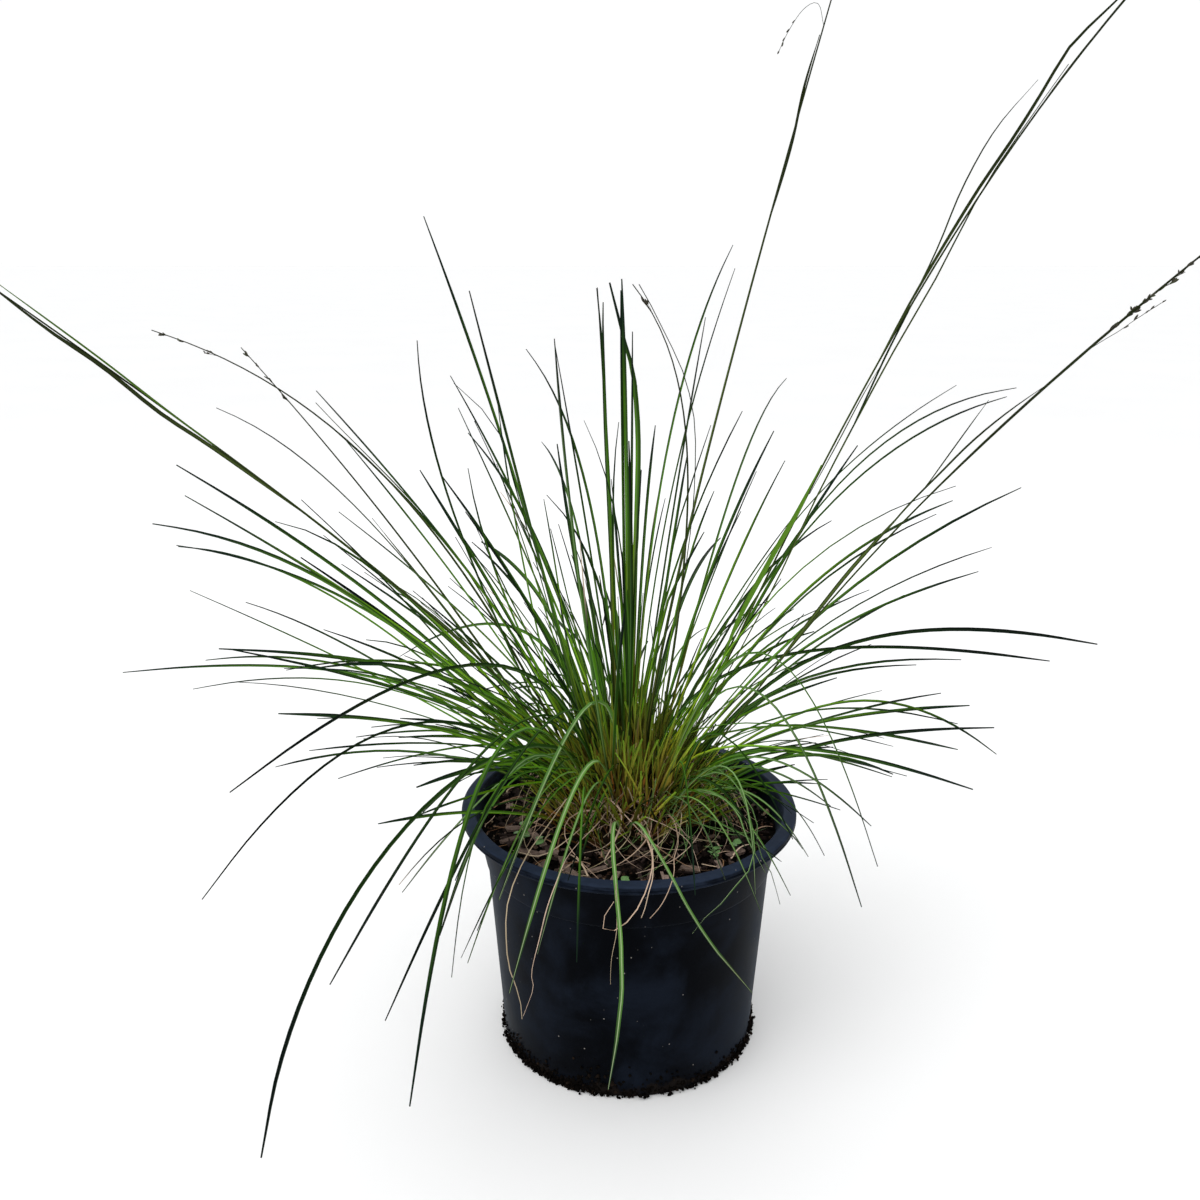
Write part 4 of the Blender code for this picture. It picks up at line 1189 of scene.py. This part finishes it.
class DROPSEED_OT_straws(Operator):
    """Lay dry curled straws and fine young blades round the crown's foot"""
    bl_idname = "dropseed.straws"
    bl_label = "Straws"

    def execute(self, context):
        wanted = context.scene.dropseed_crown.straws
        rng = np.random.default_rng(13)
        strip = model_strip(4, 13)
        straws, young = Heap(), Heap()
        t = np.linspace(0, 1, 14)
        made = 0
        while made < wanted:
            on_right = rng.random() < 0.62
            azimuth = radians(rng.uniform(-75, 35)) if on_right else rng.uniform(0, 2 * pi)
            start_out = rng.uniform(26, 45)
            length = rng.uniform(18, 58)
            dome = 141 + (CROWN_TOP / MM - 141) * max(0, 1 - (start_out / 46) ** 2) ** 0.5
            arch = rng.uniform(1, 16 if rng.random() < 0.6 else 34) * np.sin(pi * np.minimum(t * 1.2, 1))
            height = dome + arch - (dome - 142.5) * t ** 1.3
            out = start_out + length * t * rng.uniform(0.55, 1.0)
            angle = azimuth + rng.normal(0, 0.25) * t + rng.normal(0, 0.75) * t ** 2
            route = around(angle, out, np.maximum(height, 142.2)) * MM
            if not is_clear(route):
                continue
            made += 1
            width = rng.uniform(0.4, 0.8) * MM
            if rng.random() < (0.62 if on_right else 0.2):
                add_blade(young, strip, route, width * 0.8, rng, tone=rng.uniform(0.3, 1), thickness=0.35 * MM,
                          pale=rng.uniform(0.3, 1.0))
                continue
            widths = width * (1 - 0.75 * t ** 2)
            straws.add_strip(strip, even_route(route, 14), widths, widths * 0.5, 0.3, rng.normal(0, 1.0),
                             rng.normal(0, 4.0), length * MM, tone=rng.beta(2, 1.6))
        for _ in range(wanted // 2):
            azimuth, turn = radians(rng.normal(246, 40)), rng.normal(0, 0.30)
            low, high = rng.uniform(0.78, 0.98), rng.uniform(0.2, 0.7)
            share = low + (high - low) * t
            out = (share * CROWN_RADIUS / MM + 3 + rng.uniform(0, 6) * np.sin(pi * t)) * MM
            height = SOIL_TOP + crown_rise(np.minimum(share, 0.98)) + 2.5 * MM + rng.uniform(0, 8) * MM * t
            angle = azimuth + turn * t + rng.normal(0, 0.12) * np.sin(2 * pi * t)
            straws.add_strip(strip, around(angle, out, height), rng.uniform(0.3, 0.6) * MM, 0.3 * MM, 0.2, 0.0,
                             rng.normal(0, 3.0), 30 * MM, tone=rng.beta(1.2, 1.8))
        for width, *places in LOOSE_STRAWS:
            widths = width * MM * (1 - 0.6 * t ** 2)
            straws.add_strip(strip, even_route(np.array(places) * MM, 14), widths, widths * 0.5, 0.3,
                             rng.normal(0, 0.5), rng.normal(0, 2.0), 100 * MM, tone=rng.uniform(0.5, 0.8))
        for width, *places in DROOPING_LEAVES:
            add_blade(young, strip, np.array(places) * MM, width * MM, rng, tone=rng.uniform(0.2, 0.6),
                      pale=rng.uniform(0.3, 0.7), thickness=0.4 * MM)
        finish_piece(straws.make("dry_straws"), "dry_straw_leaf")
        finish_piece(young.make("young_blades"), "grass_blade")
        return {"FINISHED"}


def leans_forward(route):
    """Whether a leaf leans towards the photo's side."""
    return route[-1, 1] < -0.45 * hypot(*route[-1, :2])


def add_tuft(heap, strip, route, blades, usual_width, rng):
    """Fan shorter blades round a long one, clear of the pot."""
    for _ in range(blades):
        for _ in range(12):
            varied = vary_route(route, rng)
            if is_clear(varied):
                break
        else:
            continue
        browned = rng.uniform(0.45, 0.95) if rng.random() < 0.04 else 1.0
        width = usual_width * rng.uniform(0.5, 1.35) * (0.55 if browned < 1 else 1.0)
        add_blade(heap, strip, varied, width, rng, browned_from=browned)


class DROPSEED_OT_leaves(Operator):
    """Grow a long leaf on each packed one, with a tuft of shorter blades round it"""
    bl_idname = "dropseed.leaves"
    bl_label = "Leaf Tufts"

    def execute(self, context):
        leaf = context.scene.dropseed_leaf
        long_strip, short_strip = model_strip(4, 25), model_strip(4, 12)
        for seed, node in enumerate(LEAF_NODES):
            rng = np.random.default_rng((101, seed))
            route, width = node_route(node, 5.2 * MM)
            heap = Heap()
            in_front = leans_forward(route)
            if node in SWAYS:
                route = even_route(route, 26)
                share, right, up = zip(*SWAYS[node])
                for axis, shift in ((0, right), (2, up)):
                    route[:, axis] += np.interp(np.linspace(0, 1, 26), share, shift) * MM
            width = LEAF_WIDTHS.get(node, 0.72 * width / MM) * MM
            tone, late, *turn = LEAF_TONES.get(node, (rng.uniform(0.1, 0.8), None))
            sideways = abs(route[-1, 0]) > abs(route[-1, 1])
            roll = rng.choice((-1, 1)) * rng.uniform(0.6, 1.1) if sideways else rng.normal(0, 0.3)
            pale = 0.0 if node in LEAF_TONES else 0.75 if node.startswith("front") else 0.3 if in_front else 0.0
            add_blade(heap, long_strip, route, width, rng, tone=tone, pale=pale, late=late,
                      limpness=0.1 if turn else 0.4, roll=turn[0] if turn else roll)
            share = 0.3 if in_front else 1.35 if node.startswith("back") else 0.8
            if node.startswith(("front", "arching")):
                share = 0.0
            add_tuft(heap, short_strip, route, round(leaf.blades * share), leaf.width, rng)
            finish_piece(heap.make(f"tuft_{node}"), "grass_blade", (node,))
        rng = np.random.default_rng(77)
        heap = Heap()
        for row in GUIDE_LEAVES:
            route = guide_route(row)
            in_front = leans_forward(route)
            add_blade(heap, long_strip, route, row[-1] * 0.8 * MM, rng, limpness=0.6, pale=0.5 if in_front else 0.0)
            add_tuft(heap, short_strip, route, 0 if in_front else 2, leaf.width, rng)
        for width, tone, *places in HEART_LEAVES:
            add_blade(heap, long_strip, np.array(places) * MM, width * MM, rng, tone=tone, limpness=0.3, roll=0.1,
                      late=2.2)
        finish_piece(heap.make("tuft_between"), "grass_blade")
        return {"FINISHED"}


def beside(points, places):
    """The places that lie at shares of a stem's length, moved to the right of it and up."""
    share, right, up = np.array(places).T
    return between(points, range(31), share * 30) + np.stack((right, 0 * right, up), axis=1) * MM


def add_strand(heap, blade, points, row, length, rng):
    """A narrow leaf that lies along the stem."""
    width, tone, *places = row
    t = np.linspace(0, 1, 19)
    route = even_route(beside(points, places), 19)
    route[:, 1] += rng.choice((-1, 1)) * 1.0 * MM * np.sin(pi * t)
    start, part = places[0][0], places[-1][0] - places[0][0]
    heap.add_strip(blade, route, width * MM * np.maximum(0.3, 1 - np.abs(2 * t - 1) ** 3), 0.5 * MM, 0.25,
                   rng.choice((-1, 1)) * 1.1, rng.normal(0, 0.3), part * length,
                   along=start + blade[0][:, 2] * part, tone=tone, dry=0.0)


def add_spikelet(heap, spikelet, place, ahead, rng):
    """One spikelet that points along its branch."""
    pointing = ahead / np.linalg.norm(ahead) + rng.normal(0, 0.25, 3)
    pointing /= np.linalg.norm(pointing)
    across = np.cross(pointing, (0.3, 0.5, 0.8))
    across /= np.linalg.norm(across)
    turned = np.stack((across, np.cross(pointing, across), pointing))
    heap.add(spikelet[0] * rng.uniform(2.4, 3.8) * MM @ turned + place, spikelet[1], along=0.9, across=0.0,
             reach=0.0, tone=rng.random(), dry=rng.uniform(0.8, 1.0))


def add_panicle(heap, twig, spikelet, points, panicle, rng):
    """Thin branches that lie close to the stem's end and carry a few spikelets each."""
    share, whorls, lowest = panicle
    low, high = np.array(CAD_BOX[0]) - 4 * MM, np.array(CAD_BOX[1]) + 4 * MM
    for whorl in range(whorls):
        place = 30 * (1 - share * (1 - (whorl + 0.3) / whorls))
        index = min(int(place), 29)
        step = points[index + 1] - points[index]
        foot = points[index] + step * (place - index)
        ahead = step / np.linalg.norm(step)
        for _ in range(rng.integers(1, 3)):
            side = np.cross(ahead, rng.normal(0, 1, 3))
            side /= np.linalg.norm(side)
            spread = radians(rng.uniform(3, 12))
            size = lowest * (1 - 0.6 * whorl / whorls) * rng.uniform(0.5, 1.15) * MM
            heading = cos(spread) * ahead + sin(spread) * side

            def reached(part):
                return foot + size * (part * heading - part * part * TWIG_DROOP)

            route = reached(np.linspace(0, 1, 5)[:, None])
            if (route > high).any() or (route < low).any():
                continue
            heap.add_strip(twig, route, 0.27 * MM, 0.27 * MM, length=size, along=0.8, tone=0.3, dry=0.4)
            for _ in range(rng.integers(2, 5)):
                add_spikelet(heap, spikelet, reached(rng.uniform(0.45, 1.0)), ahead, rng)


class DROPSEED_OT_stems(Operator):
    """Model the flower stems with their leaves, branches and spikelets"""
    bl_idname = "dropseed.stems"
    bl_label = "Flower Stems"

    def execute(self, context):
        rod, blade, twig = model_strip(6, 29), model_strip(4, 18), model_strip(4, 4)
        spikelet = model_spikelet()
        for stem, (node, panicle) in enumerate(zip(STEM_NODES, PANICLES), 1):
            rng = np.random.default_rng((202, stem - 1))
            points = even_route(node_route(node, 6 * MM)[0], 31)
            length = route_length(points)
            shares, widths = zip(*STEM_THICKNESS.get(stem, USUAL_THICKNESS))
            thick = np.interp(np.linspace(0, 1, 31), shares, widths) * MM
            heap = Heap()
            heap.add_strip(rod, points, thick, thick, length=length, along=rod[0][:, 2], tone=0.35, dry=0.0)
            for number, *row in STEM_STRANDS:
                if number == stem:
                    add_strand(heap, blade, points, row, length, rng)
            for number, *places in BRANCHES:
                if number == stem:
                    route = even_route(beside(points, places), 19)
                    heap.add_strip(blade, route, 0.32 * MM, 0.32 * MM, length=40 * MM, along=0.8, tone=0.3, dry=0.4)
                    for at in (11, 13, 15, 16, 18):
                        add_spikelet(heap, spikelet, route[at], route[at] - route[at - 1], rng)
            add_panicle(heap, twig, spikelet, points, panicle, rng)
            finish_piece(heap.make(f"{node}_panicle"), "stem_and_panicle", (node,))
        return {"FINISHED"}


class DROPSEED_OT_dry_leaves(Operator):
    """Curl the withered leaves over the near rim"""
    bl_idname = "dropseed.dry_leaves"
    bl_label = "Dry Leaves"

    def execute(self, context):
        strip = model_strip(4, 31)
        t = np.linspace(0, 1, 33)
        for seed, (node, tone) in enumerate(zip(DRY_NODES, DRY_TONES)):
            rng = np.random.default_rng((303, seed))
            points = even_route(node_route(node, 3.2 * MM)[0], 33)
            wander = np.stack([rng.normal(0, 0.9) * np.sin(t * rng.uniform(7, 13) + rng.uniform(0, 6)) * t
                               for _ in range(3)], axis=1) * MM
            widths = rng.uniform(0.62, 0.85) * MM * (1 - 0.6 * t ** 2)
            heap = Heap()
            heap.add_strip(strip, points + wander, widths, widths * 0.4, 0.35, rng.normal(0, 0.6),
                           rng.normal(0, 5.0), 200 * MM, tone=tone)
            finish_piece(heap.make(f"curled_{node}"), "dry_straw_leaf", (node,))
        return {"FINISHED"}


class DROPSEED_OT_stage(Operator):
    """Set the pale floor, the soft lights and the camera"""
    bl_idname = "dropseed.stage"
    bl_label = "Stage"

    def execute(self, context):
        stage = context.scene.dropseed_stage
        deselect_all()
        bpy.ops.mesh.primitive_plane_add(size=60, location=(0, 0, 0))
        with editing() as floor:
            bpy.ops.mesh.subdivide(number_cuts=3)
        floor.name = "studio_floor"
        floor.data.materials.append(floor_material("pale_floor"))
        world = bpy.data.worlds.new("soft_surround")
        context.scene.world = world
        world.use_nodes = True
        sky = world.node_tree.nodes["Background"]
        sky.inputs["Color"].default_value = (0.99, 0.995, 1.0, 1.0)
        sky.inputs["Strength"].default_value = stage.sky
        glow = bpy.data.lights.new("soft_sun", "SUN")
        glow.energy = stage.sun
        glow.angle = radians(50)
        link_new("soft_sun", glow).rotation_euler = (radians(24), radians(-22), 0)
        for name, place, size in (("left_lamp", (-1.1, -0.7, 1.2), 1.2), ("back_lamp", (0.3, 1.4, 1.5), 1.4)):
            data = bpy.data.lights.new(name, "AREA")
            data.shape = "DISK"
            data.size = size
            data.energy = stage.fill
            lamp = link_new(name, data)
            lamp.location = place
            lamp.rotation_euler = (CLUMP_MIDDLE - Vector(place)).to_track_quat("-Z", "Y").to_euler()
            lamp.visible_camera = False
        lens = bpy.data.cameras.new("photo_camera")
        lens.sensor_width = 36
        lens.lens = CAMERA_LENS
        camera = link_new("photo_camera", lens)
        camera.location = CAMERA_PLACE
        camera.rotation_euler = (radians(90 - CAMERA_DIP), 0, 0)
        context.scene.camera = camera
        context.scene.view_settings.view_transform = "Standard"
        return {"FINISHED"}


class DROPSEED_PT_panel(Panel):
    """The list of pieces in the sidebar"""
    bl_idname = "DROPSEED_PT_panel"
    bl_label = "Prairie Dropseed"
    bl_space_type = "VIEW_3D"
    bl_region_type = "UI"
    bl_category = "Dropseed"

    def draw(self, context):
        for group in PROPERTY_GROUPS:
            settings = getattr(context.scene, group)
            box = self.layout.box()
            for name in settings.__annotations__:
                box.prop(settings, name)
        for operator in OPERATORS:
            self.layout.operator(operator.bl_idname)


PROPERTY_GROUPS = {
    "dropseed_pot": PotProperties,
    "dropseed_soil": SoilProperties,
    "dropseed_leaf": LeafProperties,
    "dropseed_crown": CrownProperties,
    "dropseed_stem": StemProperties,
    "dropseed_stage": StageProperties,
}
OPERATORS = (
    DROPSEED_OT_stage,
    DROPSEED_OT_pot,
    DROPSEED_OT_foot_crumbs,
    DROPSEED_OT_mix,
    DROPSEED_OT_litter,
    DROPSEED_OT_seedlings,
    DROPSEED_OT_crown,
    DROPSEED_OT_straws,
    DROPSEED_OT_leaves,
    DROPSEED_OT_stems,
    DROPSEED_OT_dry_leaves,
)


def register():
    for name, group in PROPERTY_GROUPS.items():
        bpy.utils.register_class(group)
        setattr(bpy.types.Scene, name, PointerProperty(type=group))
    for item in (*OPERATORS, DROPSEED_PT_panel):
        bpy.utils.register_class(item)


def unregister():
    for item in (DROPSEED_PT_panel, *reversed(OPERATORS)):
        bpy.utils.unregister_class(item)
    for name, group in PROPERTY_GROUPS.items():
        delattr(bpy.types.Scene, name)
        bpy.utils.unregister_class(group)


def main():
    register()
    bpy.ops.dropseed.stage()
    bpy.ops.dropseed.pot()
    bpy.ops.dropseed.foot_crumbs()
    bpy.ops.dropseed.mix()
    bpy.ops.dropseed.litter()
    bpy.ops.dropseed.seedlings()
    bpy.ops.dropseed.crown()
    bpy.ops.dropseed.straws()
    bpy.ops.dropseed.leaves()
    bpy.ops.dropseed.stems()
    bpy.ops.dropseed.dry_leaves()


if __name__ == "__main__":
    main()
